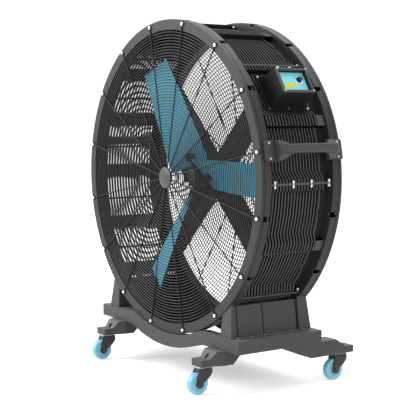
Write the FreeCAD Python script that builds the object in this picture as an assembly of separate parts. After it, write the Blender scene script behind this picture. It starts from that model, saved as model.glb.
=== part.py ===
"""Wheeled drum fan: a ribbed drum with wire guards on a base with four castors.

Lengths are in millimetres and angles in degrees. Heights are above the floor. Pieces are drawn with Y
measured from the face of the front ring towards the rear, and moved at the end so that the part's box is
centred on the origin. Around the drum a piece is drawn at angle 0, on the +X side, and turned to its place.
"""
import FreeCAD, Part
import math
import os

V = FreeCAD.Vector

# Fits
OVERRUN = 5.0            # how far a cut runs past the face that it opens
SEAT_GAP = 0.2           # between curved faces that seat on one another
RUN_GAP = 0.05           # radial clearance of a shaft in its hole
SIDE_GAP = 0.3           # end play beside a turning piece
HOLE_GAP = 0.3           # radial clearance of a screw in its hole

# Drum rings
DRUM_DEPTH = 450.0
RING_OUTER_R = 750.0
RING_SECTION = 48.0      # from the ring's inner to its outer radius
RING_WIDTH = 52.0
RING_FACE_T = 6.0
RING_WALL_T = 5.0
RIM_GROOVE_START = 16.0
RIM_GROOVE_WIDTH = 3.0
RIM_GROOVE_DEPTH = 2.0
RIM_NOTCH_TALL = 26.0
RIM_NOTCH_DEPTH = 12.0

# Guards and their bolts
GUARD_BOLTS = 16
GUARD_BOLT_INSET = 17.0  # bolt circle inside the rim
GUARD_BOLT_R = 4.0
GUARD_BOLT_HEAD_R = 8.0
GUARD_BOLT_HEAD_T = 7.0
GUARD_NUT_R = 7.5
GUARD_NUT_T = 6.5
GUARD_NUT_OVER = 7.5     # bolt's end behind its nut
SPOKE_R = 3.0
EYE_R = 12.0
EYE_T = 3.0
GUARD_WIRE_R = 1.5
GUARD_WIRES = 48
GUARD_WIRE_SIDES = 6
GUARD_WIRE_START = 16.0  # first wire outside the centre plate
GUARD_WIRE_END = 12.0    # last wire inside the ring
GUARD_PLATE_R = 46.0
GUARD_PLATE_T = 8.0
GUARD_CAP_R = 50.0
GUARD_CAP_EDGE = 4.0
GUARD_CAP_CROWN = 5.0

# Drum panels
PANELS = 8
RAISED_DROP = 12.0       # raised bands below the ring's rim
WINDOW_T = 14.0          # from the drum's inside to the ribs' outer edge in a window
BAND_HALF_ANGLE = 2.6
RAISED_AFTER_ANGLE = 1.5
RAMP_END_ANGLE = 4.5
RAISED_BEFORE_ANGLE = 2.45
STEP_ANGLE = 0.3
BAR_HALF_ANGLE = 0.35
BAR_T = 8.0
STRIP_T = 7.0
RIB_INSET = 1.0          # ribs' inner edge outside the drum's inside
RIB_LEAN_SHARE = 0.22    # how far a rib leans to the rear on its way outwards
RIB_WIDTH = 6.0
RIB_PITCH = 17.0
RIB_FRONT_GAP = 20.0
RIB_REAR_GAP = 54.0
FRONT_BAND_WIDTH = 10.0
REAR_BAND_T = 9.0
END_RAIL_WIDTH = 6.0
END_RAIL_T = 17.0
END_RAIL_BREAK_ANGLE = 0.8
FRONT_BLOCK_WIDTH = 14.0
REAR_BLOCK_WIDTH = 40.0
BLOCK_DROP = 2.0
FLANGE_T = 5.0
SEAM_BOLTS = 4
SEAM_BOLT_DROP = 11.0
SEAM_BOLT_END_GAP = 11.5
SEAM_BOLT_R = 4.0
SEAM_HEAD_R = 6.5
SEAM_HEAD_T = 6.0
SEAM_POCKET_GAP = 2.0
SEAM_POCKET_DEPTH = 15.0

# Motor
MOTOR_R = 86.0
MOTOR_LENGTH = 140.0
MOTOR_REAR_GAP = 62.0    # motor's rear cover to the drum's rear end
MOTOR_WALL = 8.0
MOTOR_FINS = 24
MOTOR_FIN_T = 3.0
MOTOR_FIN_TALL = 7.0
REAR_COVER_T = 12.0
STATOR_T = 24.0
STATOR_END_GAP = 12.0
AIR_GAP = 1.5
SHAFT_R = 14.0
BEARING_R = 31.0
BEARING_WIDTH = 16.0
STRUTS = 4
STRUT_WIDTH = 64.0
STRUT_DEPTH = 100.0
STRUT_INSET = 14.0
STRUT_WALL = 4.0
STRUT_FOOT_TALL = 84.0
STRUT_FOOT_T = 6.0

# Rotor
BLADES = 3
BLADE_FIRST_ANGLE = 121.0
BLADE_ROOT_R = 64.0
BLADE_TIP_GAP = 81.0     # blade's tip to the drum's inside
BLADE_SECTIONS = 4
BLADE_ROOT_CHORD = 196.6
BLADE_TIP_CHORD = 168.2
BLADE_ROOT_TWIST_ANGLE = 41.1
BLADE_TIP_TWIST_ANGLE = 14.4
BLADE_MOTOR_GAP = 8.7
BLADE_TIP_FORWARD = 30.8
BLADE_ROOT_OFFSET = 12.1
BLADE_TIP_OFFSET = -10.6
BLADE_ROOT_T = 9.0
BLADE_TIP_T = 5.0
CAMBER_SHARE = 0.05
HUB_R = 50.0
HUB_FORWARD = 12.7       # hub's face in front of the middle of the blades' roots
HUB_LENGTH = 68.0
PAD_REACH = 82.0         # pads outside the hub
PAD_WIDTH = 96.0
PAD_T = 22.0
CLAMP_R = 23.0
CLAMP_T = 11.0
CLAMP_INSET = 40.0       # clamp's centre from the blade's inner end
CLAMP_CHORD_SHARE = -0.08
ROTOR_CAP_R = 37.0
ROTOR_CAP_EDGE = 8.0
ROTOR_CAP_CROWN = 6.0

# Castors
WHEEL_R = 50.0
WHEEL_WIDTH = 32.0
WHEEL_CROWN = 3.0
WHEEL_HUB_R = 17.0
WHEEL_RIM_T = 16.0
WHEEL_DISH_DEPTH = 4.0
WHEEL_TOP_GAP = 4.5
AXLE_R = 6.0
AXLE_HEAD_R = 10.0
AXLE_HEAD_T = 4.0
TRAIL = 32.0
FORK_LEG_T = 5.0
FORK_SIDE_GAP = 2.0
FORK_BOSS_R = 20.0
FORK_BAR_WIDTH = 32.0
FORK_BAR_T = 2.0
CROWN_HALF = 36.0
CROWN_T = 16.0
CROWN_ROUND_R = 6.0
CROWN_TOP_GAP = 7.0
GUSSET_DROP = 22.0
GUSSET_BULGE = 5.0
GUSSET_END_SHARE = 0.8
STEM_R = 8.0
STEM_HEAD_R = 12.0
STEM_HEAD_T = 4.0
CASTOR_PLATE_HALF = 34.0
CASTOR_PLATE_WIDTH = 42.0
CASTOR_BOLT_SHIFT = 21.0 # from the swivel towards the base
CASTOR_BOLT_R = 5.0
CASTOR_NUT_R = 8.0
CASTOR_NUT_T = 7.0
CASTOR_SEAT_T = 14.0
CASTOR_WELL_GAP = 2.0

# Base
BASE_HALF_WIDTH = 603.0
BASE_TALL = 60.0
BASE_OVERHANG = 16.0     # beams past the drum's ends
BEAM_DEPTH = 60.0
BASE_WALL = 4.0
DRUM_SINK = 54.0         # drum's lowest point below the top of the base
DIP_GAP = 5.0
DIP_BLEND_R = 60.0
RAIL_WIDTH = 150.0
ARM_WIDTH = 78.0
ARM_DROP = 66.0          # from the base's underside to the arms' underside
ARM_TIP_T = 32.0
ARM_TIP_FLAT = 48.0
ARM_RAMP_LENGTH = 60.0
ARM_APEX_LENGTH = 230.0
ARM_LOW_LENGTH = 61.0
REAR_ARM_REACH = 198.0
REAR_ARM_STEP = 6.0
REAR_STEM_INSET = 63.0
FRONT_ARM_REACH = 108.0
FRONT_ARM_LOW_LENGTH = 52.0
FRONT_ARM_ROOT_WIDTH = 124.0
FRONT_STEM_INSET = 36.0
FRONT_RAMP_LENGTH = 30.0
FRONT_SWIVEL_INSET = 167.0

# Pillars
PILLAR_SETBACK = 64.0
PILLAR_FRONT_SETBACK = 9.0
PILLAR_REAR_SETBACK = 12.0
PILLAR_HEADROOM = 25.0
PILLAR_OUTER_LEAN_SHARE = 0.14
PILLAR_INNER_LEAN_SHARE = 0.09
PILLAR_END_LEAN_SHARE = 0.09
PILLAR_WALL = 6.0
RECESS_FRONT_INSET = 23.0
RECESS_REAR_INSET = 70.0
RECESS_DEPTH = 14.0
COVER_T = 5.0
COVER_FRONT_GAP = 26.0
COVER_FIRST_LENGTH = 136.0
COVER_SPLIT_GAP = 9.0
COVER_REAR_GAP = 9.0
COVER_TOP_GAP = 4.0
FOOT_WIDTH = 24.0
FOOT_T = 3.0
FOOT_SCREWS = 6
FOOT_FRONT_INSET = 29.0
FOOT_REAR_INSET = 53.0
SCREW_R = 3.0
SCREW_HEAD_R = 5.5
SCREW_HEAD_T = 3.0
SCREW_LENGTH = 10.0

# Handles
HANDLE_ANGLE = 11.25
HANDLE_FRONT_MARGIN = 16.0
HANDLE_PLATE_WIDTH = 57.0
HANDLE_PLATE_TALL = 92.0
HANDLE_PLATE_T = 12.0
HANDLE_REACH = 79.0
GRIP_DEPTH = 30.0
GRIP_TALL = 40.0
GRIP_ROUND_R = 10.0
LEG_FOOT_WIDTH = 34.0
LEG_OUTER_SHIFT = 5.0
LEG_SHOULDER = 20.0
LEG_INNER_CURVE = 46.0
LEG_CURVE_SHARE = 0.3
LEG_BULGE_SHARE = 0.62
HANDLE_SCREW_SPREAD = 68.0
HANDLE_SCREW_INSET = 26.0

# Control box
CONTROL_ANGLE = 32.4
CONTROL_FORWARD = 17.0   # from the drum's middle towards the front
CONTROL_PLATE_DROP = 15.0
CONTROL_PLATE_T = 4.0
CONTROL_PLATE_LENGTH = 228.0
CONTROL_PLATE_TALL = 178.0
CONTROL_STEP_INSET = 14.0
CONTROL_STEP_T = 16.0
CONTROL_POST_R = 8.0
CONTROL_POST_Y = 85.0
CONTROL_POST_Z = 60.0
CONTROL_BODY_LENGTH = 186.0
CONTROL_BODY_TALL = 140.0
CONTROL_BODY_NARROWING = 12.0
CONTROL_BODY_HIGH = 81.0
CONTROL_LEDGE = 6.0
CONTROL_FLOOR_T = 5.0
BEZEL_INSET = 2.0
BEZEL_T = 9.0
BEZEL_BAR = 10.0
BEZEL_SCREW_INSET = 6.0
BEZEL_CORNER_R = 6.0
BEZEL_SCREW_REACH = 11.0
PANEL_DEPTH = 13.0       # panel's face below the housing's face
PANEL_T = 3.0
PANEL_FIT = 0.5
KNOB_R = 13.0
KNOB_TOP_R = 11.0
KNOB_T = 16.0
KNOB_SHAFT_R = 3.0
KNOB_SHAFT_LENGTH = 9.0
KNOB_OFF_Y = 39.0
KNOB_OFF_Z = 13.0
GLAND_R = 9.0
GLAND_NUT_R = 12.0
GLAND_NUT_T = 7.0
GLAND_LENGTH = 22.0
GLAND_BORE_R = 5.5
GLAND_SPREAD = 66.0
GLAND_FACE_DROP = 35.0

# Sizes that follow from those above
FULL_TURN = 360.0
HALF = 0.5
ARM_BOTTOM = WHEEL_R * 2 + WHEEL_TOP_GAP + CROWN_T + CROWN_TOP_GAP
ARM_TIP_TOP = ARM_BOTTOM + ARM_TIP_T
BASE_BOTTOM = ARM_BOTTOM + ARM_DROP
BASE_TOP = BASE_BOTTOM + BASE_TALL
REAR_ARM_TOP = BASE_BOTTOM + REAR_ARM_STEP
AXIS_HEIGHT = BASE_TOP + RING_OUTER_R - DRUM_SINK
RING_INNER_R = RING_OUTER_R - RING_SECTION
GUARD_BOLT_CIRCLE_R = RING_OUTER_R - GUARD_BOLT_INSET
GUARD_FIRST_R = GUARD_PLATE_R + GUARD_WIRE_START
GUARD_LAST_R = RING_INNER_R - GUARD_WIRE_END
BAND_PITCH = FULL_TURN / PANELS * HALF
RAISED_R = RING_OUTER_R - RAISED_DROP
WINDOW_R = RING_INNER_R + WINDOW_T
SEAM_BOLT_CIRCLE_R = RAISED_R - SEAM_BOLT_DROP
RIB_FIRST_Y = RING_WIDTH + RIB_FRONT_GAP
RIBS = 1 + round((DRUM_DEPTH - RING_WIDTH - RIB_REAR_GAP - RIB_FIRST_Y) / RIB_PITCH)
MOTOR_END_Y = DRUM_DEPTH - MOTOR_REAR_GAP - REAR_COVER_T
MOTOR_START_Y = MOTOR_END_Y - MOTOR_LENGTH
STATOR_START_Y = MOTOR_START_Y + BEARING_WIDTH + STATOR_END_GAP
STATOR_END_Y = MOTOR_END_Y - BEARING_WIDTH - STATOR_END_GAP
STRUT_START_Y = MOTOR_START_Y + STRUT_INSET
BLADE_TIP_R = RING_INNER_R - BLADE_TIP_GAP
BLADE_ROOT_REACH = BLADE_ROOT_CHORD * HALF * math.sin(math.radians(BLADE_ROOT_TWIST_ANGLE))
BLADE_ROOT_Y = MOTOR_START_Y - BLADE_MOTOR_GAP - BLADE_ROOT_REACH
BLADE_TIP_Y = BLADE_ROOT_Y - BLADE_TIP_FORWARD
HUB_START_Y = BLADE_ROOT_Y - HUB_FORWARD
PAD_REACH_R = HUB_R + PAD_REACH
CLAMP_PLACE_R = BLADE_ROOT_R + CLAMP_INSET
BASE_FRONT_Y = -BASE_OVERHANG
BASE_REAR_Y = DRUM_DEPTH + BASE_OVERHANG
RAIL_INNER_X = BASE_HALF_WIDTH - RAIL_WIDTH
ARM_APEX_Y = BASE_REAR_Y - ARM_APEX_LENGTH
ARM_LOW_Y = BASE_REAR_Y - ARM_LOW_LENGTH
REAR_ARM_TIP_Y = BASE_REAR_Y + REAR_ARM_REACH
FRONT_ARM_TIP_Y = BASE_FRONT_Y - FRONT_ARM_REACH
FRONT_ARM_LOW_Y = BASE_FRONT_Y + FRONT_ARM_LOW_LENGTH
FRONT_SWIVEL_X = BASE_HALF_WIDTH - FRONT_SWIVEL_INSET
FRONT_SWIVEL_Y = FRONT_ARM_TIP_Y + FRONT_STEM_INSET
REAR_SWIVEL_X = BASE_HALF_WIDTH - ARM_WIDTH * HALF
REAR_SWIVEL_Y = REAR_ARM_TIP_Y - REAR_STEM_INSET
PILLAR_OUTER_X = BASE_HALF_WIDTH - PILLAR_SETBACK
PILLAR_FRONT_Y = BASE_FRONT_Y + PILLAR_FRONT_SETBACK
PILLAR_REAR_Y = BASE_REAR_Y - PILLAR_REAR_SETBACK
DRUM_OVER_PILLAR = AXIS_HEIGHT - math.sqrt(RING_OUTER_R * RING_OUTER_R - PILLAR_OUTER_X * PILLAR_OUTER_X)
PILLAR_TALL = DRUM_OVER_PILLAR - BASE_TOP + PILLAR_HEADROOM
RECESS_START_Y = PILLAR_FRONT_Y + RECESS_FRONT_INSET
RECESS_END_Y = PILLAR_REAR_Y - RECESS_REAR_INSET
FOOT_SCREW_FIRST_Y = PILLAR_FRONT_Y + FOOT_FRONT_INSET
FOOT_SCREW_LAST_Y = PILLAR_REAR_Y - FOOT_REAR_INSET
FOOT_SCREW_X = PILLAR_OUTER_X + FOOT_WIDTH * HALF
CONTROL_MIDDLE_Y = DRUM_DEPTH * HALF - CONTROL_FORWARD
FRONT_REACH = FRONT_SWIVEL_Y - TRAIL - WHEEL_R
CENTRE_Y = (FRONT_REACH + REAR_ARM_TIP_Y) * HALF
AXIS = V(0, 0, AXIS_HEIGHT)
ALONG_Y = V(0, 1, 0)
UP = V(0, 0, 1)


def save(name, shape):
    """Moves the finished piece so that the whole part is centred in Y and writes its file."""
    placed = shape.copy()
    placed.translate(V(0, -CENTRE_Y, 0))
    placed.exportStep("parts/%s.step" % name)


def polar(radius, angle, y):
    """A point on the drum: angle 0 is +X and 90 is straight up."""
    turn_by = math.radians(angle)
    return V(radius * math.cos(turn_by), y, AXIS_HEIGHT + radius * math.sin(turn_by))


def turn(shape, angle):
    """A copy turned about the fan's axis, from +X towards +Z."""
    turned = shape.copy()
    turned.rotate(AXIS, V(0, -1, 0), angle)
    return turned


def to_rear(shape):
    """The same piece at the other end of the drum."""
    return shape.mirror(V(0, DRUM_DEPTH * HALF, 0), ALONG_Y)


def to_left(shape):
    """The same piece on the other side."""
    return shape.mirror(V(0, 0, 0), V(1, 0, 0))


def fuse(pieces):
    return pieces[0].multiFuse(pieces[1:]).removeSplitter()


def face(points):
    return Part.Face(Part.makePolygon(points + points[:1]))


def prism_y(outline, start, end):
    """An outline of (x, z) points carried along Y."""
    return face([V(x, start, z) for x, z in outline]).extrude(V(0, end - start, 0))


def prism_x(outline, start, end):
    """An outline of (y, z) points carried along X."""
    return face([V(start, y, z) for y, z in outline]).extrude(V(end - start, 0, 0))


def block(low, high):
    size = [b - a for a, b in zip(low, high)]
    return Part.makeBox(size[0], size[1], size[2], V(*low))


def rod_y(radius, start, end, x=0, z=AXIS_HEIGHT):
    return Part.makeCylinder(radius, end - start, V(x, start, z), ALONG_Y)


def rod_x(radius, start, end, y, z):
    return Part.makeCylinder(radius, end - start, V(start, y, z), V(1, 0, 0))


def rod_z(radius, start, end, x, y):
    return Part.makeCylinder(radius, end - start, V(x, y, start), UP)


def spun(outline):
    """An outline of (radius, y) points turned about the fan's axis."""
    return face([V(r, y, AXIS_HEIGHT) for r, y in outline]).revolve(AXIS, ALONG_Y, FULL_TURN)


def arc_edge(radius, start, end, y):
    middle = (start + end) * HALF
    return Part.Arc(polar(radius, start, y), polar(radius, middle, y), polar(radius, end, y)).toShape()


def line_edge(start, end):
    return Part.LineSegment(start, end).toShape()


def polar_prism(outline, inner_r, start, end):
    """The space between an inner arc and an outline of (angle, radius) points, carried along Y."""
    edges = []
    for (a0, r0), (a1, r1) in zip(outline, outline[1:]):
        if r0 == r1:
            edges.append(arc_edge(r0, a0, a1, start))
        else:
            edges.append(line_edge(polar(r0, a0, start), polar(r1, a1, start)))
    first, last = outline[0], outline[-1]
    edges.append(line_edge(polar(last[1], last[0], start), polar(inner_r, last[0], start)))
    edges.append(arc_edge(inner_r, last[0], first[0], start))
    edges.append(line_edge(polar(inner_r, first[0], start), polar(first[1], first[0], start)))
    return Part.Face(Part.Wire(edges)).extrude(V(0, end - start, 0))


def sector(inner_r, outer_r, start_angle, end_angle, start, end):
    return polar_prism([(start_angle, outer_r), (end_angle, outer_r)], inner_r, start, end)


def guard_angles():
    step = FULL_TURN / GUARD_BOLTS
    return [step * (i + HALF) for i in range(GUARD_BOLTS)]


# Drum rings and guards

def ring():
    """A hollow box ring with a groove round its rim, and a bolt hole and a rim notch at each guard bolt."""
    shell = rod_y(RING_OUTER_R, 0, RING_WIDTH).cut(rod_y(RING_INNER_R, -OVERRUN, RING_WIDTH + OVERRUN))
    inside_end = RING_WIDTH - RING_WALL_T
    hollow = rod_y(RING_OUTER_R - RING_WALL_T, RING_FACE_T, inside_end)
    hollow = hollow.cut(rod_y(RING_INNER_R + RING_WALL_T, RING_FACE_T, inside_end))
    groove_end = RIM_GROOVE_START + RIM_GROOVE_WIDTH
    groove = rod_y(RING_OUTER_R + OVERRUN, RIM_GROOVE_START, groove_end)
    groove = groove.cut(rod_y(RING_OUTER_R - RIM_GROOVE_DEPTH, RIM_GROOVE_START, groove_end))
    notch_half = RIM_NOTCH_TALL * HALF
    notch = block((RING_OUTER_R - RIM_NOTCH_DEPTH, groove_end, AXIS_HEIGHT - notch_half),
                  (RING_OUTER_R + OVERRUN, RING_WIDTH + OVERRUN, AXIS_HEIGHT + notch_half))
    hole = rod_y(GUARD_BOLT_R + HOLE_GAP, -OVERRUN, RING_FACE_T + OVERRUN, GUARD_BOLT_CIRCLE_R)
    cuts = [groove] + [turn(cut, angle) for angle in guard_angles() for cut in (notch, hole)]
    return shell.cut(hollow).cut(Part.makeCompound(cuts))


def guard_spokes():
    """The welded spider of a guard: a centre plate, the radial rods and an eye at the end of each."""
    rod_end = GUARD_BOLT_CIRCLE_R - GUARD_BOLT_HEAD_R - HOLE_GAP
    rod = rod_x(SPOKE_R, GUARD_PLATE_R - GUARD_PLATE_T, rod_end, spoke_y(), AXIS_HEIGHT)
    eye = rod_y(EYE_R, -EYE_T, 0, GUARD_BOLT_CIRCLE_R)
    hole = rod_y(GUARD_BOLT_R + HOLE_GAP, -EYE_T - OVERRUN, OVERRUN, GUARD_BOLT_CIRCLE_R)
    arm = rod.fuse(eye).cut(hole)
    plate_front = guard_plate_front()
    plate = rod_y(GUARD_PLATE_R, plate_front, plate_front + GUARD_PLATE_T)
    return fuse([plate] + [turn(arm, angle) for angle in guard_angles()])


def spoke_y():
    return -SPOKE_R - SEAT_GAP


def guard_plate_front():
    return spoke_y() - GUARD_PLATE_T * HALF


def domed_disc(radius, back, edge, crown):
    """A disc with its back at one place and a dome of a given crown on the side towards the front."""
    dome_r = (radius * radius + crown * crown) / (crown * 2)
    top = back - edge - crown
    dome = Part.makeSphere(dome_r, V(0, top + dome_r, AXIS_HEIGHT))
    return rod_y(radius, top - OVERRUN, back).common(dome)


def guard_rings():
    """The concentric wires, welded behind the rods. Flat sides to their section keep the mesh light."""
    step = (GUARD_LAST_R - GUARD_FIRST_R) / (GUARD_WIRES - 1)
    sides = [math.radians(FULL_TURN / GUARD_WIRE_SIDES * i) for i in range(GUARD_WIRE_SIDES)]
    section = [(GUARD_WIRE_R * math.cos(a), GUARD_WIRE_R * (1 + math.sin(a))) for a in sides]
    radii = [GUARD_FIRST_R + step * i for i in range(GUARD_WIRES)]
    return Part.makeCompound([spun([(radius + across, y) for across, y in section]) for radius in radii])


def guard_cap():
    """A shallow domed disc on the centre plate."""
    return domed_disc(GUARD_CAP_R, guard_plate_front(), GUARD_CAP_EDGE, GUARD_CAP_CROWN)


def guard_bolts():
    """A bolt at each eye: head in front of the eye, nut behind the face of the ring."""
    head_y = -EYE_T
    head = rod_y(GUARD_BOLT_HEAD_R, head_y - GUARD_BOLT_HEAD_T, head_y, GUARD_BOLT_CIRCLE_R)
    top_edges = [edge for edge in head.Edges if edge.BoundBox.YMax < head_y - GUARD_BOLT_HEAD_T * HALF]
    head = head.makeFillet(GUARD_BOLT_HEAD_T * HALF, top_edges)
    nut_end = RING_FACE_T + GUARD_NUT_T
    shank = rod_y(GUARD_BOLT_R, head_y, nut_end + GUARD_NUT_OVER, GUARD_BOLT_CIRCLE_R)
    nut = rod_y(GUARD_NUT_R, RING_FACE_T, nut_end, GUARD_BOLT_CIRCLE_R)
    bolt = fuse([head, shank, nut])
    front = [turn(bolt, angle) for angle in guard_angles()]
    return Part.makeCompound(front + [to_rear(one) for one in front])


# Drum panels

def rib_outline(gap):
    """Outer edge of a rib over one panel, or a gap outside it.

    Each band has a ramp on one side and a step on the other.
    """
    raised, window = RAISED_R + gap, WINDOW_R + gap
    outline = [(0, raised)]
    for band in (0, BAND_PITCH):
        following = band + BAND_PITCH
        outline += [
            (band + RAISED_AFTER_ANGLE, raised),
            (band + RAMP_END_ANGLE, window),
            (following - RAISED_BEFORE_ANGLE - STEP_ANGLE, window),
            (following - RAISED_BEFORE_ANGLE, raised)]
    outline.append((BAND_PITCH * 2, raised))
    return outline


def rib_sheet(y):
    """A thin cone about the fan's axis that leans to the rear on its way outwards, at Y in the windows' surface."""
    inner, outer = RING_INNER_R - OVERRUN, RAISED_R + OVERRUN
    outline = []
    for radius, side in ((inner, -HALF), (inner, HALF), (outer, HALF), (outer, -HALF)):
        outline.append((radius, y + RIB_WIDTH * side + (radius - WINDOW_R) * RIB_LEAN_SHARE))
    return turn(spun(outline), FULL_TURN * HALF)


def seam_bolt_ys():
    first = RIB_FIRST_Y + RIB_PITCH * HALF
    step = (DRUM_DEPTH - RING_WIDTH - SEAM_BOLT_END_GAP - first) / (SEAM_BOLTS - 1)
    return [first + step * i for i in range(SEAM_BOLTS)]


def drum_panel():
    """One ribbed panel: ribs, strips and bars that join them, bands and blocks at its ends, and flanges."""
    start, end = RING_WIDTH, DRUM_DEPTH - RING_WIDTH
    sweep = BAND_PITCH * 2
    strip_r = RING_INNER_R + STRIP_T
    last_rib = RIB_FIRST_Y + RIB_PITCH * (RIBS - 1)
    rib_space = polar_prism(rib_outline(0), RING_INNER_R + RIB_INSET, 0, DRUM_DEPTH)
    pieces = []
    for i in range(RIBS):
        pieces += rib_space.common(rib_sheet(RIB_FIRST_Y + RIB_PITCH * i)).Solids
    pieces.append(sector(RING_INNER_R, WINDOW_R, 0, sweep, start, start + FRONT_BAND_WIDTH))
    pieces.append(sector(RING_INNER_R, RING_INNER_R + REAR_BAND_T, 0, sweep, last_rib, end))
    half = BAND_HALF_ANGLE
    for a0, a1 in ((0, half), (BAND_PITCH - half, BAND_PITCH + half), (sweep - half, sweep)):
        pieces.append(sector(RING_INNER_R, strip_r, a0, a1, start, end))
    for band in (0, BAND_PITCH):
        low = band + RAMP_END_ANGLE
        high = band + BAND_PITCH - RAISED_BEFORE_ANGLE - STEP_ANGLE
        middle = (low + high) * HALF
        bar_angles = (middle - BAR_HALF_ANGLE, middle + BAR_HALF_ANGLE)
        pieces.append(sector(RING_INNER_R, RING_INNER_R + BAR_T, *bar_angles, start, end))
        rail_r = RING_INNER_R + END_RAIL_T
        for a0, a1 in ((low, middle - END_RAIL_BREAK_ANGLE), (middle + END_RAIL_BREAK_ANGLE, high)):
            pieces.append(sector(RING_INNER_R, rail_r, a0, a1, last_rib, last_rib + END_RAIL_WIDTH))
    block_r = RAISED_R - BLOCK_DROP
    raised = (BAND_PITCH - RAISED_BEFORE_ANGLE, BAND_PITCH + RAISED_AFTER_ANGLE)
    pieces.append(sector(RING_INNER_R, block_r, *raised, end - REAR_BLOCK_WIDTH, end))
    for a0, a1 in ((0, RAISED_AFTER_ANGLE), (sweep - RAISED_BEFORE_ANGLE, sweep)):
        pieces.append(sector(RING_INNER_R, block_r, a0, a1, start, start + FRONT_BLOCK_WIDTH))
    flange_angle = math.degrees(FLANGE_T / RAISED_R)
    pieces.append(sector(RING_INNER_R, RAISED_R, 0, flange_angle, start, end))
    pieces.append(sector(RING_INNER_R, RAISED_R, sweep - flange_angle, sweep, start, end))
    cuts = []
    for y in seam_bolt_ys():
        base = AXIS_HEIGHT + FLANGE_T
        hole = rod_z(SEAM_BOLT_R + HOLE_GAP, AXIS_HEIGHT - OVERRUN, base + OVERRUN, SEAM_BOLT_CIRCLE_R, y)
        pocket = rod_z(SEAM_HEAD_R + SEAM_POCKET_GAP, base, base + SEAM_POCKET_DEPTH, SEAM_BOLT_CIRCLE_R, y)
        near_end = hole.fuse(pocket)
        far_end = near_end.mirror(AXIS, UP)
        cuts += [near_end, turn(far_end, sweep)]
    return fuse(pieces).cut(Part.makeCompound(cuts))


def seam_bolts():
    """Head on one flange, nut on the next, at each bolt place of each seam."""
    bolts = []
    for y in seam_bolt_ys():
        shank = rod_z(SEAM_BOLT_R, AXIS_HEIGHT - FLANGE_T, AXIS_HEIGHT + FLANGE_T, SEAM_BOLT_CIRCLE_R, y)
        head_base = AXIS_HEIGHT + FLANGE_T
        head = rod_z(SEAM_HEAD_R, head_base, head_base + SEAM_HEAD_T, SEAM_BOLT_CIRCLE_R, y)
        nut = head.mirror(AXIS, UP)
        bolt = fuse([shank, head, nut])
        bolts += [turn(bolt, BAND_PITCH * 2 * k) for k in range(PANELS)]
    return Part.makeCompound(bolts)


# Motor and the struts that carry it

def motor_housing():
    """A finned pot, closed in front round the bearing and open at the rear for its cover."""
    end = MOTOR_END_Y
    fin = block((0, MOTOR_START_Y + MOTOR_WALL, AXIS_HEIGHT - MOTOR_FIN_T * HALF),
                (MOTOR_R + MOTOR_FIN_TALL, end - MOTOR_WALL, AXIS_HEIGHT + MOTOR_FIN_T * HALF))
    strut_step = FULL_TURN / STRUTS
    fin_step = FULL_TURN / MOTOR_FINS
    clear = math.degrees((STRUT_WIDTH * HALF + MOTOR_FIN_T) / MOTOR_R)
    fins = []
    for i in range(MOTOR_FINS):
        angle = fin_step * i
        off = abs((angle % strut_step) - strut_step * HALF)
        if off > clear:
            fins.append(turn(fin, angle))
    body = fuse([rod_y(MOTOR_R, MOTOR_START_Y, end)] + fins)
    hollow = rod_y(MOTOR_R - MOTOR_WALL, MOTOR_START_Y + BEARING_WIDTH, end + OVERRUN)
    seat = rod_y(BEARING_R, MOTOR_START_Y - OVERRUN, MOTOR_START_Y + BEARING_WIDTH + OVERRUN)
    return body.cut(hollow).cut(seat)


def motor_rear_cover():
    """The lid over the open end, with a spigot inside it that holds the rear bearing."""
    end = MOTOR_END_Y
    lid = rod_y(MOTOR_R, end, end + REAR_COVER_T)
    spigot_start = end - BEARING_WIDTH
    spigot = rod_y(BEARING_R + MOTOR_WALL, spigot_start, end)
    seat = rod_y(BEARING_R, spigot_start - OVERRUN, end)
    return lid.fuse(spigot).cut(seat)


def stator_core():
    outer = MOTOR_R - MOTOR_WALL - SEAT_GAP
    bore = rod_y(outer - STATOR_T, STATOR_START_Y - OVERRUN, STATOR_END_Y + OVERRUN)
    return rod_y(outer, STATOR_START_Y, STATOR_END_Y).cut(bore)


def motor_shaft():
    """The shaft from the hub to the rear bearing, with the rotor core on it."""
    core_r = MOTOR_R - MOTOR_WALL - STATOR_T - AIR_GAP
    core = rod_y(core_r, STATOR_START_Y, STATOR_END_Y)
    return rod_y(SHAFT_R, HUB_START_Y, MOTOR_END_Y - SIDE_GAP).fuse(core)


def motor_bearings():
    front = rod_y(BEARING_R - SEAT_GAP, MOTOR_START_Y, MOTOR_START_Y + BEARING_WIDTH)
    rear = rod_y(BEARING_R - SEAT_GAP, MOTOR_END_Y - BEARING_WIDTH, MOTOR_END_Y)
    bore = rod_y(SHAFT_R + RUN_GAP, MOTOR_START_Y - OVERRUN, MOTOR_END_Y + OVERRUN)
    return Part.makeCompound([front.cut(bore), rear.cut(bore)])


def motor_strut():
    """A channel from the motor to the drum's inner wall, open at the rear, with a foot on the wall."""
    end = STRUT_START_Y + STRUT_DEPTH
    half = STRUT_WIDTH * HALF
    beam = block((0, STRUT_START_Y, AXIS_HEIGHT - half), (RING_INNER_R, end, AXIS_HEIGHT + half))
    inside = half - STRUT_WALL
    hollow = block((0, STRUT_START_Y + STRUT_WALL, AXIS_HEIGHT - inside),
                   (RING_INNER_R - STRUT_FOOT_T * 2, end + OVERRUN, AXIS_HEIGHT + inside))
    foot_half = STRUT_FOOT_TALL * HALF
    foot = block((RING_INNER_R - STRUT_FOOT_T * 2, STRUT_START_Y, AXIS_HEIGHT - foot_half),
                 (RING_INNER_R, end, AXIS_HEIGHT + foot_half))
    strut = fuse([beam.cut(hollow), foot])
    wall = rod_y(RING_INNER_R - SEAT_GAP, STRUT_START_Y - OVERRUN, end + OVERRUN)
    return strut.common(wall).cut(rod_y(MOTOR_R + SEAT_GAP, STRUT_START_Y - OVERRUN, end + OVERRUN))


# Rotor

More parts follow.
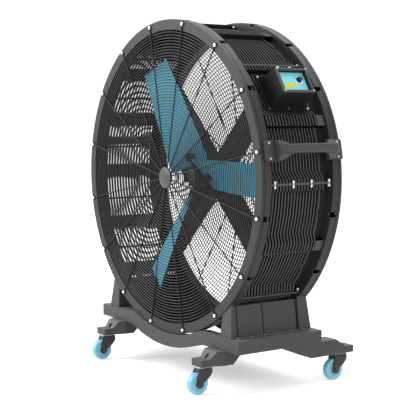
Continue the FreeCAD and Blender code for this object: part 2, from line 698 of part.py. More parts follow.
def blade_frame(share):
    """Place, chord direction and front normal of the blade's section at a share of its span."""
    def along(root, tip):
        return root + (tip - root) * share
    twist = math.radians(along(BLADE_ROOT_TWIST_ANGLE, BLADE_TIP_TWIST_ANGLE))
    offset = along(BLADE_ROOT_OFFSET, BLADE_TIP_OFFSET)
    centre = V(along(BLADE_ROOT_R, BLADE_TIP_R), along(BLADE_ROOT_Y, BLADE_TIP_Y), AXIS_HEIGHT + offset)
    chord_way = V(0, -math.sin(twist), math.cos(twist))
    front_way = V(0, -math.cos(twist), -math.sin(twist))
    chord = along(BLADE_ROOT_CHORD, BLADE_TIP_CHORD)
    thick = along(BLADE_ROOT_T, BLADE_TIP_T)
    return centre, chord_way, front_way, chord, thick


def blade(margin):
    """A twisted, cambered blade: lens sections of two arcs each, lofted from root to tip.

    With a margin it is the space that the blade needs, thicker by that much on each side.
    """
    wires = []
    for i in range(BLADE_SECTIONS):
        centre, chord_way, front_way, chord, thick = blade_frame(i / (BLADE_SECTIONS - 1))
        start = centre - chord_way * (chord * HALF)
        end = centre + chord_way * (chord * HALF)
        back = centre - front_way * (chord * CAMBER_SHARE)
        half_thick = thick * HALF + margin
        front_arc = Part.Arc(start, back + front_way * half_thick, end).toShape()
        rear_arc = Part.Arc(end, back - front_way * half_thick, start).toShape()
        wires.append(Part.Wire([front_arc, rear_arc]))
    return Part.makeLoft(wires, True, False)


def root_frame(radius):
    return blade_frame((radius - BLADE_ROOT_R) / (BLADE_TIP_R - BLADE_ROOT_R))


def blade_angles():
    return [BLADE_FIRST_ANGLE + FULL_TURN / BLADES * i for i in range(BLADES)]


def rotor_hub(blade_space):
    """A boss on the shaft with a pad behind the root of each blade."""
    centre, chord_way, front_way, chord, thick = root_frame(CLAMP_PLACE_R)
    seat = centre - front_way * (chord * CAMBER_SHARE)
    corner = seat - chord_way * (PAD_WIDTH * HALF) - front_way * PAD_T
    inner = V(0, corner.y, corner.z)
    outline = [inner, inner + chord_way * PAD_WIDTH]
    outline += [outline[1] + front_way * PAD_T, inner + front_way * PAD_T]
    pad = face(outline).extrude(V(PAD_REACH_R, 0, 0)).cut(blade_space)
    pad = max(pad.Solids, key=lambda solid: solid.Volume)
    boss = rod_y(HUB_R, HUB_START_Y, HUB_START_Y + HUB_LENGTH)
    pads = [turn(pad, angle) for angle in blade_angles()]
    spaces = [turn(blade_space, angle) for angle in blade_angles()]
    hub = fuse([boss] + pads).cut(Part.makeCompound(spaces))
    hub_end = HUB_START_Y + HUB_LENGTH
    front_clear = rod_y(HUB_R, HUB_START_Y - PAD_REACH_R, HUB_START_Y)
    rear_clear = rod_y(PAD_REACH_R * 2, hub_end, hub_end + PAD_REACH_R)
    hub = hub.cut(front_clear).cut(rear_clear)
    hub = hub.cut(rod_y(SHAFT_R + RUN_GAP, HUB_START_Y - OVERRUN, hub_end + OVERRUN))
    return max(hub.Solids, key=lambda solid: solid.Volume)


def blade_clamps(blade_space):
    """The round clamp on the front of each blade's root."""
    centre, chord_way, front_way, chord, thick = root_frame(CLAMP_PLACE_R)
    base = centre + chord_way * (chord * CLAMP_CHORD_SHARE) - front_way * (chord * CAMBER_SHARE)
    disc = Part.makeCylinder(CLAMP_R, CLAMP_T + thick * HALF, base, front_way).cut(blade_space)
    disc = max(disc.Solids, key=lambda solid: solid.Volume)
    return Part.makeCompound([turn(disc, angle) for angle in blade_angles()])


def rotor_cap():
    """A domed cap on the end of the hub."""
    return domed_disc(ROTOR_CAP_R, HUB_START_Y, ROTOR_CAP_EDGE, ROTOR_CAP_CROWN)


# Base

def beam_outline(half_width, inset):
    """Front view of a base beam as a face at Y 0: flat ends, and a middle that dips round the drum."""
    top = BASE_TOP - inset
    bottom = BASE_BOTTOM + inset
    end = half_width - inset
    top_r = RING_OUTER_R + DIP_GAP + inset
    bottom_r = RING_OUTER_R + DIP_GAP + BASE_TALL - inset

    def leaves(radius, height):
        return math.degrees(math.asin((AXIS_HEIGHT - height) / radius))

    top_angle = leaves(top_r, top)
    bottom_angle = leaves(bottom_r, bottom)
    half_turn = FULL_TURN * HALF
    top_right = polar(top_r, -top_angle, 0)
    top_left = polar(top_r, -half_turn + top_angle, 0)
    bottom_right = polar(bottom_r, -bottom_angle, 0)
    bottom_left = polar(bottom_r, -half_turn + bottom_angle, 0)
    edges = [
        line_edge(V(-end, 0, top), top_left),
        Part.Arc(top_left, polar(top_r, -half_turn * HALF, 0), top_right).toShape(),
        line_edge(top_right, V(end, 0, top)),
        line_edge(V(end, 0, top), V(end, 0, bottom)),
        line_edge(V(end, 0, bottom), bottom_right),
        Part.Arc(bottom_right, polar(bottom_r, -half_turn * HALF, 0), bottom_left).toShape(),
        line_edge(bottom_left, V(-end, 0, bottom)),
        line_edge(V(-end, 0, bottom), V(-end, 0, top))]
    return Part.Face(Part.Wire(edges))


def blended(beam):
    """Rounds the four long corners where the dip leaves the flats."""
    widest = beam.BoundBox.XMax

    def at_corner(edge):
        box = edge.BoundBox
        along_y = box.XLength < SEAT_GAP and box.ZLength < SEAT_GAP
        return along_y and abs(box.Center.x) < widest - SEAT_GAP

    return beam.makeFillet(DIP_BLEND_R, [edge for edge in beam.Edges if at_corner(edge)])


def beam_space(half_width, inset):
    """All that is inside a beam's outline, drawn with its front at Y 0."""
    return blended(beam_outline(half_width, inset).extrude(V(0, BEAM_DEPTH, 0)))


def base_beam(half_width, front_y, open_to_rear):
    """A folded channel that dips under the drum, open on the side away from view."""
    outer = beam_space(half_width, 0)
    inner = beam_space(half_width, BASE_WALL)
    inner.translate(V(0, BASE_WALL if open_to_rear else -BASE_WALL, 0))
    beam = outer.cut(inner)
    beam.translate(V(0, front_y, 0))
    return beam.cut(foot_screw_holes())


def bolt_well(x, y, top):
    """The hole for the bolt of a castor's plate, with a well for its nut."""
    seat = ARM_BOTTOM + CASTOR_SEAT_T
    hole = rod_z(CASTOR_BOLT_R + HOLE_GAP, ARM_BOTTOM - OVERRUN, seat + OVERRUN, x, y)
    return hole.fuse(rod_z(CASTOR_NUT_R + CASTOR_WELL_GAP, seat, top, x, y))


def base_rail():
    """Right-hand rail: a tray under the pillar that runs out into the rear castor arm."""
    front = BASE_FRONT_Y + BEAM_DEPTH
    tray = block((RAIL_INNER_X, front, BASE_BOTTOM), (BASE_HALF_WIDTH, BASE_REAR_Y, BASE_TOP))
    flat_end = REAR_ARM_TIP_Y - ARM_TIP_FLAT
    ramp_top = flat_end - ARM_RAMP_LENGTH
    outline = [
        (ARM_APEX_Y, BASE_BOTTOM), (ARM_LOW_Y, ARM_BOTTOM), (REAR_ARM_TIP_Y, ARM_BOTTOM),
        (REAR_ARM_TIP_Y, ARM_TIP_TOP), (flat_end, ARM_TIP_TOP), (ramp_top, REAR_ARM_TOP),
        (BASE_REAR_Y, REAR_ARM_TOP), (ARM_APEX_Y, REAR_ARM_TOP)]
    arm_inner = BASE_HALF_WIDTH - ARM_WIDTH
    arm = prism_x(outline, arm_inner, BASE_HALF_WIDTH)
    inside = BASE_TOP - BASE_WALL
    front_pocket = block((RAIL_INNER_X + BASE_WALL, front + BASE_WALL, BASE_BOTTOM - OVERRUN),
                         (BASE_HALF_WIDTH - BASE_WALL, ARM_APEX_Y - BASE_WALL, inside))
    rear_start = ARM_APEX_Y - BASE_WALL - OVERRUN
    pocket_side = arm_inner - BASE_WALL
    rear_pocket = block((RAIL_INNER_X + BASE_WALL, rear_start, BASE_BOTTOM - OVERRUN),
                        (pocket_side, BASE_REAR_Y - BASE_WALL, inside))
    over_arm = block((pocket_side - OVERRUN, rear_start, REAR_ARM_TOP + BASE_WALL),
                     (BASE_HALF_WIDTH - BASE_WALL, BASE_REAR_Y - BASE_WALL, inside))
    well = bolt_well(REAR_SWIVEL_X, REAR_SWIVEL_Y - CASTOR_BOLT_SHIFT, BASE_TOP)
    rail = fuse([tray, arm]).cut(front_pocket).cut(rear_pocket).cut(over_arm)
    return rail.cut(well).cut(foot_screw_holes())


def front_arm():
    """Right-hand front castor arm, bolted under the front beam: it narrows towards its tip."""
    rear = BASE_FRONT_Y + BEAM_DEPTH
    flat_end = FRONT_ARM_TIP_Y + ARM_TIP_FLAT
    outline = [
        (FRONT_ARM_TIP_Y, ARM_BOTTOM), (FRONT_ARM_TIP_Y, ARM_TIP_TOP), (flat_end, ARM_TIP_TOP),
        (flat_end + FRONT_RAMP_LENGTH, BASE_BOTTOM), (FRONT_ARM_LOW_Y + ARM_DROP, BASE_BOTTOM),
        (FRONT_ARM_LOW_Y, ARM_BOTTOM)]
    root_half = FRONT_ARM_ROOT_WIDTH * HALF
    tip_half = ARM_WIDTH * HALF
    side = prism_x(outline, FRONT_SWIVEL_X - root_half, FRONT_SWIVEL_X + root_half)
    back_y = rear + BEAM_DEPTH
    right = [(tip_half, FRONT_ARM_TIP_Y), (tip_half, flat_end)]
    right += [(root_half, BASE_FRONT_Y), (root_half, back_y)]
    corners = right + [(-across, y) for across, y in reversed(right)]
    plan = face([V(FRONT_SWIVEL_X + across, y, 0) for across, y in corners])
    beam = beam_space(BASE_HALF_WIDTH, 0)
    beam.translate(V(0, BASE_FRONT_Y, 0))
    arm = side.common(plan.extrude(V(0, 0, BASE_TOP))).cut(beam)
    return arm.cut(bolt_well(FRONT_SWIVEL_X, FRONT_SWIVEL_Y + CASTOR_BOLT_SHIFT, BASE_BOTTOM + OVERRUN))


# Pillars

def pillar_block(inset, lift):
    """The leaning body of the right-hand pillar, drawn in by a wall thickness."""
    def level(share, z):
        rise = PILLAR_TALL * share
        inner = RAIL_INNER_X + PILLAR_INNER_LEAN_SHARE * rise + inset
        outer = PILLAR_OUTER_X - PILLAR_OUTER_LEAN_SHARE * rise - inset
        front = PILLAR_FRONT_Y + PILLAR_END_LEAN_SHARE * rise + inset
        rear = PILLAR_REAR_Y - PILLAR_END_LEAN_SHARE * rise - inset
        corners = [V(inner, front, z), V(outer, front, z), V(outer, rear, z), V(inner, rear, z)]
        return Part.makePolygon(corners + corners[:1])
    below = -lift / PILLAR_TALL
    return Part.makeLoft([level(below, BASE_TOP - lift), level(1, BASE_TOP + PILLAR_TALL)], True, True)


def lean_slab(depth_in, depth_out, start, end):
    """A slab that follows the pillar's leaning outer face, between two depths under that face."""
    top = BASE_TOP + PILLAR_TALL
    top_x = PILLAR_OUTER_X - PILLAR_OUTER_LEAN_SHARE * PILLAR_TALL
    outline = [(PILLAR_OUTER_X - depth_in, BASE_TOP), (PILLAR_OUTER_X - depth_out, BASE_TOP),
               (top_x - depth_out, top), (top_x - depth_in, top)]
    return prism_y(outline, start, end)


def pillar():
    """Right-hand pillar: a hollow leaning post that cradles the drum, with a recess for covers and a foot."""
    past_ends = (PILLAR_FRONT_Y - OVERRUN, PILLAR_REAR_Y + OVERRUN)
    drum = rod_y(RING_OUTER_R + SEAT_GAP, *past_ends)
    cradle = rod_y(RING_OUTER_R + SEAT_GAP + PILLAR_WALL, *past_ends)
    recess = lean_slab(RECESS_DEPTH, -BASE_HALF_WIDTH, RECESS_START_Y, RECESS_END_Y)
    foot_end = FOOT_WIDTH * HALF
    foot = block((PILLAR_OUTER_X - RECESS_DEPTH - PILLAR_WALL, FOOT_SCREW_FIRST_Y - foot_end, BASE_TOP),
                 (PILLAR_OUTER_X + FOOT_WIDTH, FOOT_SCREW_LAST_Y + foot_end, BASE_TOP + FOOT_T))
    hollow = pillar_block(PILLAR_WALL, OVERRUN).cut(cradle)
    behind_recess = (RECESS_START_Y - PILLAR_WALL, RECESS_END_Y + PILLAR_WALL)
    hollow = hollow.cut(lean_slab(RECESS_DEPTH + PILLAR_WALL, -BASE_HALF_WIDTH, *behind_recess))
    shell = pillar_block(0, 0).cut(recess).cut(hollow)
    return fuse([shell, foot]).cut(drum).cut(foot_screw_holes())


def foot_screw_ys():
    step = (FOOT_SCREW_LAST_Y - FOOT_SCREW_FIRST_Y) / (FOOT_SCREWS - 1)
    return [FOOT_SCREW_FIRST_Y + step * i for i in range(FOOT_SCREWS)]


def foot_screw_holes():
    """The holes of the foot screws on both sides, through the foot and the base under it."""
    low, high = BASE_TOP - SCREW_LENGTH, BASE_TOP + FOOT_T + OVERRUN
    right = [rod_z(SCREW_R + HOLE_GAP, low, high, FOOT_SCREW_X, y) for y in foot_screw_ys()]
    return Part.makeCompound(right + [to_left(hole) for hole in right])


def side_covers():
    """The two flat covers in the recess of the right-hand pillar."""
    drum = rod_y(RING_OUTER_R + COVER_TOP_GAP, PILLAR_FRONT_Y, PILLAR_REAR_Y)
    above_foot = block((0, PILLAR_FRONT_Y, BASE_TOP + FOOT_T), (BASE_HALF_WIDTH, PILLAR_REAR_Y, AXIS_HEIGHT))
    first = RECESS_START_Y + COVER_FRONT_GAP
    split = first + COVER_FIRST_LENGTH
    spans = ((first, split), (split + COVER_SPLIT_GAP, RECESS_END_Y - COVER_REAR_GAP))
    plates = [lean_slab(RECESS_DEPTH, RECESS_DEPTH - COVER_T, *span) for span in spans]
    return [plate.cut(drum).common(above_foot) for plate in plates]


# Castors

def castor_places():
    """Name of each castor and the place of its swivel."""
    return {
        "front_right": (FRONT_SWIVEL_X, FRONT_SWIVEL_Y), "front_left": (-FRONT_SWIVEL_X, FRONT_SWIVEL_Y),
        "rear_right": (REAR_SWIVEL_X, REAR_SWIVEL_Y), "rear_left": (-REAR_SWIVEL_X, REAR_SWIVEL_Y)}


def crown_heights():
    top = ARM_BOTTOM - CROWN_TOP_GAP
    return top - CROWN_T, top


def castor_stem(x, y):
    """The castor's plate under the arm, its bolt and nut, and a headed pin for the fork's crown."""
    crown_bottom, crown_top = crown_heights()
    plate_bottom = crown_top + SIDE_GAP
    half_width = CASTOR_PLATE_WIDTH * HALF
    plate = block((x - half_width, y - CASTOR_PLATE_HALF, plate_bottom),
                  (x + half_width, y + CASTOR_PLATE_HALF, ARM_BOTTOM))
    head_top = crown_bottom - SIDE_GAP
    pin = rod_z(STEM_R, head_top, ARM_BOTTOM, x, y)
    head = rod_z(STEM_HEAD_R, head_top - STEM_HEAD_T, head_top, x, y)
    bolt_y = y + (CASTOR_BOLT_SHIFT if y < 0 else -CASTOR_BOLT_SHIFT)
    seat = ARM_BOTTOM + CASTOR_SEAT_T
    bolt = rod_z(CASTOR_BOLT_R, plate_bottom, seat + CASTOR_NUT_T, x, bolt_y)
    nut = rod_z(CASTOR_NUT_R, seat, seat + CASTOR_NUT_T, x, bolt_y)
    return fuse([plate, pin, head, bolt, nut])


def castor_fork(x, y):
    """Crown and two legs with a rounded gusset behind each, and the axle through their lower ends."""
    crown_bottom, crown_top = crown_heights()
    axle_y = y - TRAIL
    front_y, rear_y = y - CROWN_HALF, y + CROWN_HALF
    inner = WHEEL_WIDTH * HALF + FORK_SIDE_GAP
    outer = inner + FORK_LEG_T
    proud = outer + FORK_BAR_T
    crown = block((x - outer, front_y, crown_bottom), (x + outer, rear_y, crown_top))
    upright = [edge for edge in crown.Edges if edge.BoundBox.ZLength > CROWN_T * HALF]
    crown = crown.makeFillet(CROWN_ROUND_R, upright)
    leg_top = crown_top - CROWN_T * HALF

    def at(along, height):
        return V(x - outer, along, height)

    gusset_low = crown_top - GUSSET_DROP
    boss_share = FORK_BOSS_R * GUSSET_END_SHARE
    end = at(axle_y + boss_share, WHEEL_R + FORK_BOSS_R - boss_share)
    skirt = at(rear_y, gusset_low)
    bulge = (skirt + end) * HALF + V(0, GUSSET_BULGE, -GUSSET_BULGE)
    front_low = at(axle_y - boss_share, WHEEL_R)
    edges = [
        line_edge(front_low, at(front_y, leg_top)), line_edge(at(front_y, leg_top), at(rear_y, leg_top)),
        line_edge(at(rear_y, leg_top), skirt), Part.Arc(skirt, bulge, end).toShape(),
        line_edge(end, front_low)]
    leg = Part.Face(Part.Wire(edges)).extrude(V(FORK_LEG_T, 0, 0))
    boss = rod_x(FORK_BOSS_R, x - proud, x - inner, axle_y, WHEEL_R)
    bar_outline = [(front_y, leg_top), (front_y + FORK_BAR_WIDTH, leg_top), (axle_y + boss_share, WHEEL_R),
                   (axle_y - boss_share, WHEEL_R)]
    bar = prism_x(bar_outline, x - proud, x - inner)
    near = fuse([leg, boss, bar])
    far = near.mirror(V(x, 0, 0), V(1, 0, 0))
    head_end = proud + AXLE_HEAD_T
    axle = rod_x(AXLE_R, x - head_end, x + head_end, axle_y, WHEEL_R)
    heads = [rod_x(AXLE_HEAD_R, x - head_end, x - proud, axle_y, WHEEL_R),
             rod_x(AXLE_HEAD_R, x + proud, x + head_end, axle_y, WHEEL_R)]
    bore = rod_z(STEM_R + RUN_GAP, crown_bottom - OVERRUN, crown_top + OVERRUN, x, y)
    return fuse([crown, near, far, axle] + heads).cut(bore)


def castor_wheel(x, y):
    """A solid wheel with a crowned tread and dished sides, bored for its axle."""
    half = WHEEL_WIDTH * HALF
    axle_y = y - TRAIL
    bore = AXLE_R + RUN_GAP

    def at(across, radius):
        return V(x + across, axle_y, WHEEL_R + radius)

    shoulder = WHEEL_R - WHEEL_CROWN
    side = half - WHEEL_CROWN
    dish = half - WHEEL_DISH_DEPTH
    rim = WHEEL_R - WHEEL_RIM_T
    edges = [
        line_edge(at(-half, bore), at(-half, WHEEL_HUB_R)),
        line_edge(at(-half, WHEEL_HUB_R), at(-dish, WHEEL_HUB_R)),
        line_edge(at(-dish, WHEEL_HUB_R), at(-dish, rim)),
        line_edge(at(-dish, rim), at(-half, shoulder - WHEEL_DISH_DEPTH)),
        line_edge(at(-half, shoulder - WHEEL_DISH_DEPTH), at(-half, shoulder)),
        line_edge(at(-half, shoulder), at(-side, WHEEL_R)),
        line_edge(at(-side, WHEEL_R), at(side, WHEEL_R)),
        line_edge(at(side, WHEEL_R), at(half, shoulder)),
        line_edge(at(half, shoulder), at(half, shoulder - WHEEL_DISH_DEPTH)),
        line_edge(at(half, shoulder - WHEEL_DISH_DEPTH), at(dish, rim)),
        line_edge(at(dish, rim), at(dish, WHEEL_HUB_R)),
        line_edge(at(dish, WHEEL_HUB_R), at(half, WHEEL_HUB_R)),
        line_edge(at(half, WHEEL_HUB_R), at(half, bore)),
        line_edge(at(half, bore), at(-half, bore))]
    return Part.Face(Part.Wire(edges)).revolve(V(x, axle_y, WHEEL_R), V(1, 0, 0), FULL_TURN)


# Handles

def handle():
    """A bow between two end plates, drawn at angle 0: a side view and a front view, each carried through."""
    face_x = RING_OUTER_R + HANDLE_PLATE_T
    reach = RING_OUTER_R + HANDLE_REACH
    grip_x = reach - GRIP_DEPTH
    near, far = handle_ends()
    plate_end = near + HANDLE_PLATE_WIDTH
    half_plate = HANDLE_PLATE_TALL * HALF
    half_grip = GRIP_TALL * HALF
    low_z = AXIS_HEIGHT - half_plate

    def at(y, x):
        return V(x, y, low_z)

    def at_far(y, x):
        return at(near + far - y, x)

    leg_out = plate_end - LEG_OUTER_SHIFT
    leg_in = leg_out + LEG_FOOT_WIDTH
    grip_in = leg_in + LEG_INNER_CURVE
    curve_mid = (leg_in + LEG_INNER_CURVE * LEG_CURVE_SHARE, grip_x - (grip_x - face_x) * LEG_CURVE_SHARE)
    outer = [(leg_out, RING_OUTER_R), (plate_end, reach - LEG_SHOULDER), (plate_end + LEG_SHOULDER, reach)]
    edges = []
    for place in (at, at_far):
        edges += [line_edge(place(*a), place(*b)) for a, b in zip(outer, outer[1:])]
        edges.append(line_edge(place(*outer[0]), place(leg_in, RING_OUTER_R)))
        edges.append(line_edge(place(leg_in, RING_OUTER_R), place(leg_in, face_x)))
        edges.append(Part.Arc(place(leg_in, face_x), place(*curve_mid), place(grip_in, grip_x)).toShape())
    edges.append(line_edge(at(*outer[-1]), at_far(*outer[-1])))
    edges.append(line_edge(at(grip_in, grip_x), at_far(grip_in, grip_x)))
    side = Part.Face(Part.Wire(Part.__sortEdges__(edges)))
    bow = side.extrude(V(0, 0, HANDLE_PLATE_TALL))

    def flare(sign):
        foot = V(RING_OUTER_R, 0, AXIS_HEIGHT + sign * half_plate)
        plate_top = V(face_x, 0, AXIS_HEIGHT + sign * half_plate)
        neck = V(grip_x, 0, AXIS_HEIGHT + sign * half_grip)
        shoulder = V(reach - GRIP_ROUND_R, 0, AXIS_HEIGHT + sign * half_grip)
        top = V(reach, 0, AXIS_HEIGHT + sign * (half_grip - GRIP_ROUND_R))
        bulge_z = half_grip + (half_plate - half_grip) * LEG_BULGE_SHARE
        bulge = V(face_x + (grip_x - face_x) * LEG_BULGE_SHARE, 0, AXIS_HEIGHT + sign * bulge_z)
        corner = GRIP_ROUND_R * (1 - math.sqrt(HALF))
        round_mid = V(reach - corner, 0, AXIS_HEIGHT + sign * (half_grip - corner))
        lines = [
            line_edge(foot, plate_top), Part.Arc(plate_top, bulge, neck).toShape(),
            line_edge(neck, shoulder), Part.Arc(shoulder, round_mid, top).toShape()]
        return lines, foot, top

    upper, upper_foot, upper_top = flare(1)
    lower, lower_foot, lower_top = flare(-1)
    closing = [line_edge(upper_top, lower_top), line_edge(lower_foot, upper_foot)]
    front_view = Part.Face(Part.Wire(Part.__sortEdges__(upper + lower + closing)))
    bow = bow.common(front_view.extrude(V(0, far, 0)))
    plates = []
    for start in (near, far - HANDLE_PLATE_WIDTH):
        plate = block((RING_OUTER_R - OVERRUN, start, AXIS_HEIGHT - half_plate),
                      (face_x, start + HANDLE_PLATE_WIDTH, AXIS_HEIGHT + half_plate))
        rounding = [edge for edge in plate.Edges if edge.BoundBox.XLength > HANDLE_PLATE_T * HALF]
        plates.append(plate.makeFillet(GRIP_ROUND_R, rounding))
    drum = rod_y(RING_OUTER_R + SEAT_GAP, -OVERRUN, DRUM_DEPTH + OVERRUN)
    holes = [handle_screw_hole(y, z) for y, z in handle_screw_places()]
    return fuse([bow] + plates).cut(drum).cut(Part.makeCompound(holes))


def handle_ends():
    """Front and rear end of a handle: the rear one is level with the drum's rear end."""
    return HANDLE_FRONT_MARGIN, DRUM_DEPTH


def handle_screw_places():
    half = HANDLE_SCREW_SPREAD * HALF
    near, far = handle_ends()
    ends = (near + HANDLE_SCREW_INSET, far - HANDLE_SCREW_INSET)
    return [(end, AXIS_HEIGHT + z) for end in ends for z in (-half, half)]


def handle_screw_hole(y, z):
    """From inside the ring's hollow to outside the handle."""
    inside = RING_OUTER_R - RING_WALL_T - OVERRUN
    return rod_x(SCREW_R + HOLE_GAP, inside, RING_OUTER_R + HANDLE_REACH, y, z)


def handle_screw_holes():
    """The holes of both handles, in place on the drum."""
    right = [turn(handle_screw_hole(y, z), HANDLE_ANGLE) for y, z in handle_screw_places()]
    return right + [to_left(hole) for hole in right]


# Control box, drawn at angle 0

def centred(x0, x1, length, tall):
    """A block between two radial places, centred on the box in length and height."""
    half_y, half_z = length * HALF, tall * HALF
    return block((x0, CONTROL_MIDDLE_Y - half_y, AXIS_HEIGHT - half_z),
                 (x1, CONTROL_MIDDLE_Y + half_y, AXIS_HEIGHT + half_z))


def control_levels():
    """Radial places of the plate, its step, the housing's back, the housing's face and the bezel's face."""
    plate = RING_OUTER_R - CONTROL_PLATE_DROP
    step = plate + CONTROL_PLATE_T
    body = step + CONTROL_STEP_T
    bezel = body + CONTROL_BODY_HIGH
    return plate, step, body, bezel, bezel + BEZEL_T


def nearest_rib(y):
    return RIB_FIRST_Y + RIB_PITCH * round((y - RIB_FIRST_Y) / RIB_PITCH)


def control_base():
    """A stepped mounting plate on four posts that stand on ribs of the drum."""
    plate_x, step_x, body_x, bezel_x, front_x = control_levels()
    plate = centred(plate_x, step_x, CONTROL_PLATE_LENGTH, CONTROL_PLATE_TALL)
    inset = CONTROL_STEP_INSET * 2
    step = centred(step_x, body_x, CONTROL_PLATE_LENGTH - inset, CONTROL_PLATE_TALL - inset)
    panel = polar_prism(rib_outline(SEAT_GAP), RING_INNER_R - RING_SECTION, 0, DRUM_DEPTH)
    panel = turn(panel, -CONTROL_ANGLE)
    posts = []
    for along in (-CONTROL_POST_Y, CONTROL_POST_Y):
        y = nearest_rib(CONTROL_MIDDLE_Y + along)
        for z in (-CONTROL_POST_Z, CONTROL_POST_Z):
            posts.append(rod_x(CONTROL_POST_R, RING_INNER_R, plate_x, y, AXIS_HEIGHT + z).cut(panel))
    places = plate_screw_places()
    holes = [rod_x(SCREW_R + HOLE_GAP, plate_x - OVERRUN, step_x + OVERRUN, y, z) for y, z in places]
    return fuse([plate, step] + posts).cut(Part.makeCompound(holes))


def corner_places(length, tall, inset):
    """Places near the four corners of a rectangle centred on the box."""
    half_y, half_z = length * HALF - inset, tall * HALF - inset
    return [(CONTROL_MIDDLE_Y + a * half_y, AXIS_HEIGHT + b * half_z) for a in (-1, 1) for b in (-1, 1)]


def plate_screw_places():
    """One near each corner of the plate and one in the middle of each long edge."""
    inset = CONTROL_STEP_INSET * HALF
    half_z = CONTROL_PLATE_TALL * HALF - inset
    middles = [(CONTROL_MIDDLE_Y, AXIS_HEIGHT - half_z), (CONTROL_MIDDLE_Y, AXIS_HEIGHT + half_z)]
    return corner_places(CONTROL_PLATE_LENGTH, CONTROL_PLATE_TALL, inset) + middles


def face_size():
    """Length and height of the housing's face."""
    return CONTROL_BODY_LENGTH - CONTROL_BODY_NARROWING, CONTROL_BODY_TALL - CONTROL_BODY_NARROWING


def bezel_size():
    length, tall = face_size()
    return length - BEZEL_INSET * 2, tall - BEZEL_INSET * 2


def well_size():
    """Length and height of the well in the bezel and the housing, above the panel."""
    length, tall = bezel_size()
    return length - BEZEL_BAR * 2, tall - BEZEL_BAR * 2


def bezel_screw_places():
    return corner_places(*bezel_size(), BEZEL_SCREW_INSET)


def bezel_screw_holes():
    bezel_x, front_x = control_levels()[3:]
    low = bezel_x - BEZEL_SCREW_REACH
    return Part.makeCompound([rod_x(SCREW_R + HOLE_GAP, low, front_x + OVERRUN, y, z)
                              for y, z in bezel_screw_places()])


def control_block():
    """The outside of the housing, drafted towards its face."""
    plate_x, step_x, body_x, bezel_x, front_x = control_levels()

    def level(x, length, tall):
        y0, y1 = CONTROL_MIDDLE_Y - length * HALF, CONTROL_MIDDLE_Y + length * HALF
        z0, z1 = AXIS_HEIGHT - tall * HALF, AXIS_HEIGHT + tall * HALF
        return Part.makePolygon([V(x, y0, z0), V(x, y1, z0), V(x, y1, z1), V(x, y0, z1), V(x, y0, z0)])

    back = level(body_x, CONTROL_BODY_LENGTH, CONTROL_BODY_TALL)
    return Part.makeLoft([back, level(bezel_x, *face_size())], True, True)


def control_body():
    """The housing: a well for the panel, a ledge that the panel lies on, and the hollow under it."""
    plate_x, step_x, body_x, bezel_x, front_x = control_levels()
    length, tall = well_size()
    ledge_x = bezel_x - PANEL_DEPTH - PANEL_T
    well = centred(ledge_x, bezel_x + OVERRUN, length, tall)
    hollow_size = (length - CONTROL_LEDGE * 2, tall - CONTROL_LEDGE * 2)
    hollow = centred(body_x + CONTROL_FLOOR_T, ledge_x + OVERRUN, *hollow_size)
    top = AXIS_HEIGHT + CONTROL_BODY_TALL
    holes = [rod_z(GLAND_R + HOLE_GAP, AXIS_HEIGHT, top, bezel_x - GLAND_FACE_DROP, y) for y in gland_ys()]
    body = control_block().cut(well).cut(hollow)
    return body.cut(Part.makeCompound(holes)).cut(bezel_screw_holes())


def control_bezel():
    """The frame round the panel's well."""
    plate_x, step_x, body_x, bezel_x, front_x = control_levels()
    frame = centred(bezel_x, front_x, *bezel_size())
    corners = [edge for edge in frame.Edges if edge.BoundBox.XLength > BEZEL_T * HALF]
    frame = frame.makeFillet(BEZEL_CORNER_R, corners)
    opening = centred(bezel_x - OVERRUN, front_x + OVERRUN, *well_size())
    return frame.cut(opening).cut(bezel_screw_holes())


def panel_face():
    return control_levels()[3] - PANEL_DEPTH


def knob_place():
    return CONTROL_MIDDLE_Y + KNOB_OFF_Y, AXIS_HEIGHT + KNOB_OFF_Z


def control_panel():
    """The coloured plate on the ledge of the well, with a hole for the knob's shaft."""
    face_x = panel_face()
    length, tall = well_size()
    plate = centred(face_x - PANEL_T, face_x, length - PANEL_FIT * 2, tall - PANEL_FIT * 2)
    hole = rod_x(KNOB_SHAFT_R + RUN_GAP, face_x - PANEL_T - OVERRUN, face_x + OVERRUN, *knob_place())
    return plate.cut(hole)


def speed_knob():
    """A tapered knob on a short shaft through the panel, with a notch for a pointer across its top."""
    face_x = panel_face()
    y, z = knob_place()
    base_x = face_x + SIDE_GAP
    grip = Part.makeCone(KNOB_R, KNOB_TOP_R, KNOB_T, V(base_x, y, z), V(1, 0, 0))
    shaft = rod_x(KNOB_SHAFT_R, face_x - KNOB_SHAFT_LENGTH, base_x, y, z)
    top = base_x + KNOB_T
    notch_half = KNOB_SHAFT_R * HALF
    notch = block((top - notch_half, y - notch_half, z), (top + OVERRUN, y + notch_half, z + KNOB_R))
    return grip.fuse(shaft).cut(notch)


def gland_ys():
    return [CONTROL_MIDDLE_Y - GLAND_SPREAD * HALF, CONTROL_MIDDLE_Y + GLAND_SPREAD * HALF]


def cable_glands():
    """Two bored glands on the upper wall of the housing."""
    plate_x, step_x, body_x, bezel_x, front_x = control_levels()
    x = bezel_x - GLAND_FACE_DROP
    top = AXIS_HEIGHT + CONTROL_BODY_TALL * HALF
    under = AXIS_HEIGHT + well_size()[1] * HALF - CONTROL_LEDGE
    housing = control_block()
    glands = []
    for y in gland_ys():
        nut = rod_z(GLAND_NUT_R, under, top + GLAND_NUT_T, x, y).cut(housing)
        stem = rod_z(GLAND_R, under, top + GLAND_LENGTH, x, y)
        bore = rod_z(GLAND_BORE_R, under - OVERRUN, top + GLAND_LENGTH + OVERRUN, x, y)
        glands.append(nut.fuse(stem).cut(bore))
    return Part.makeCompound(glands)


# Screws of the casing

def screw(place, way, length):
    """A pan head with its shank, seated at a place and standing out along a direction."""
    head = Part.makeCylinder(SCREW_HEAD_R, SCREW_HEAD_T, place, way)
    shank = Part.makeCylinder(SCREW_R, length, place - way * length, way)
    return fuse([head, shank])


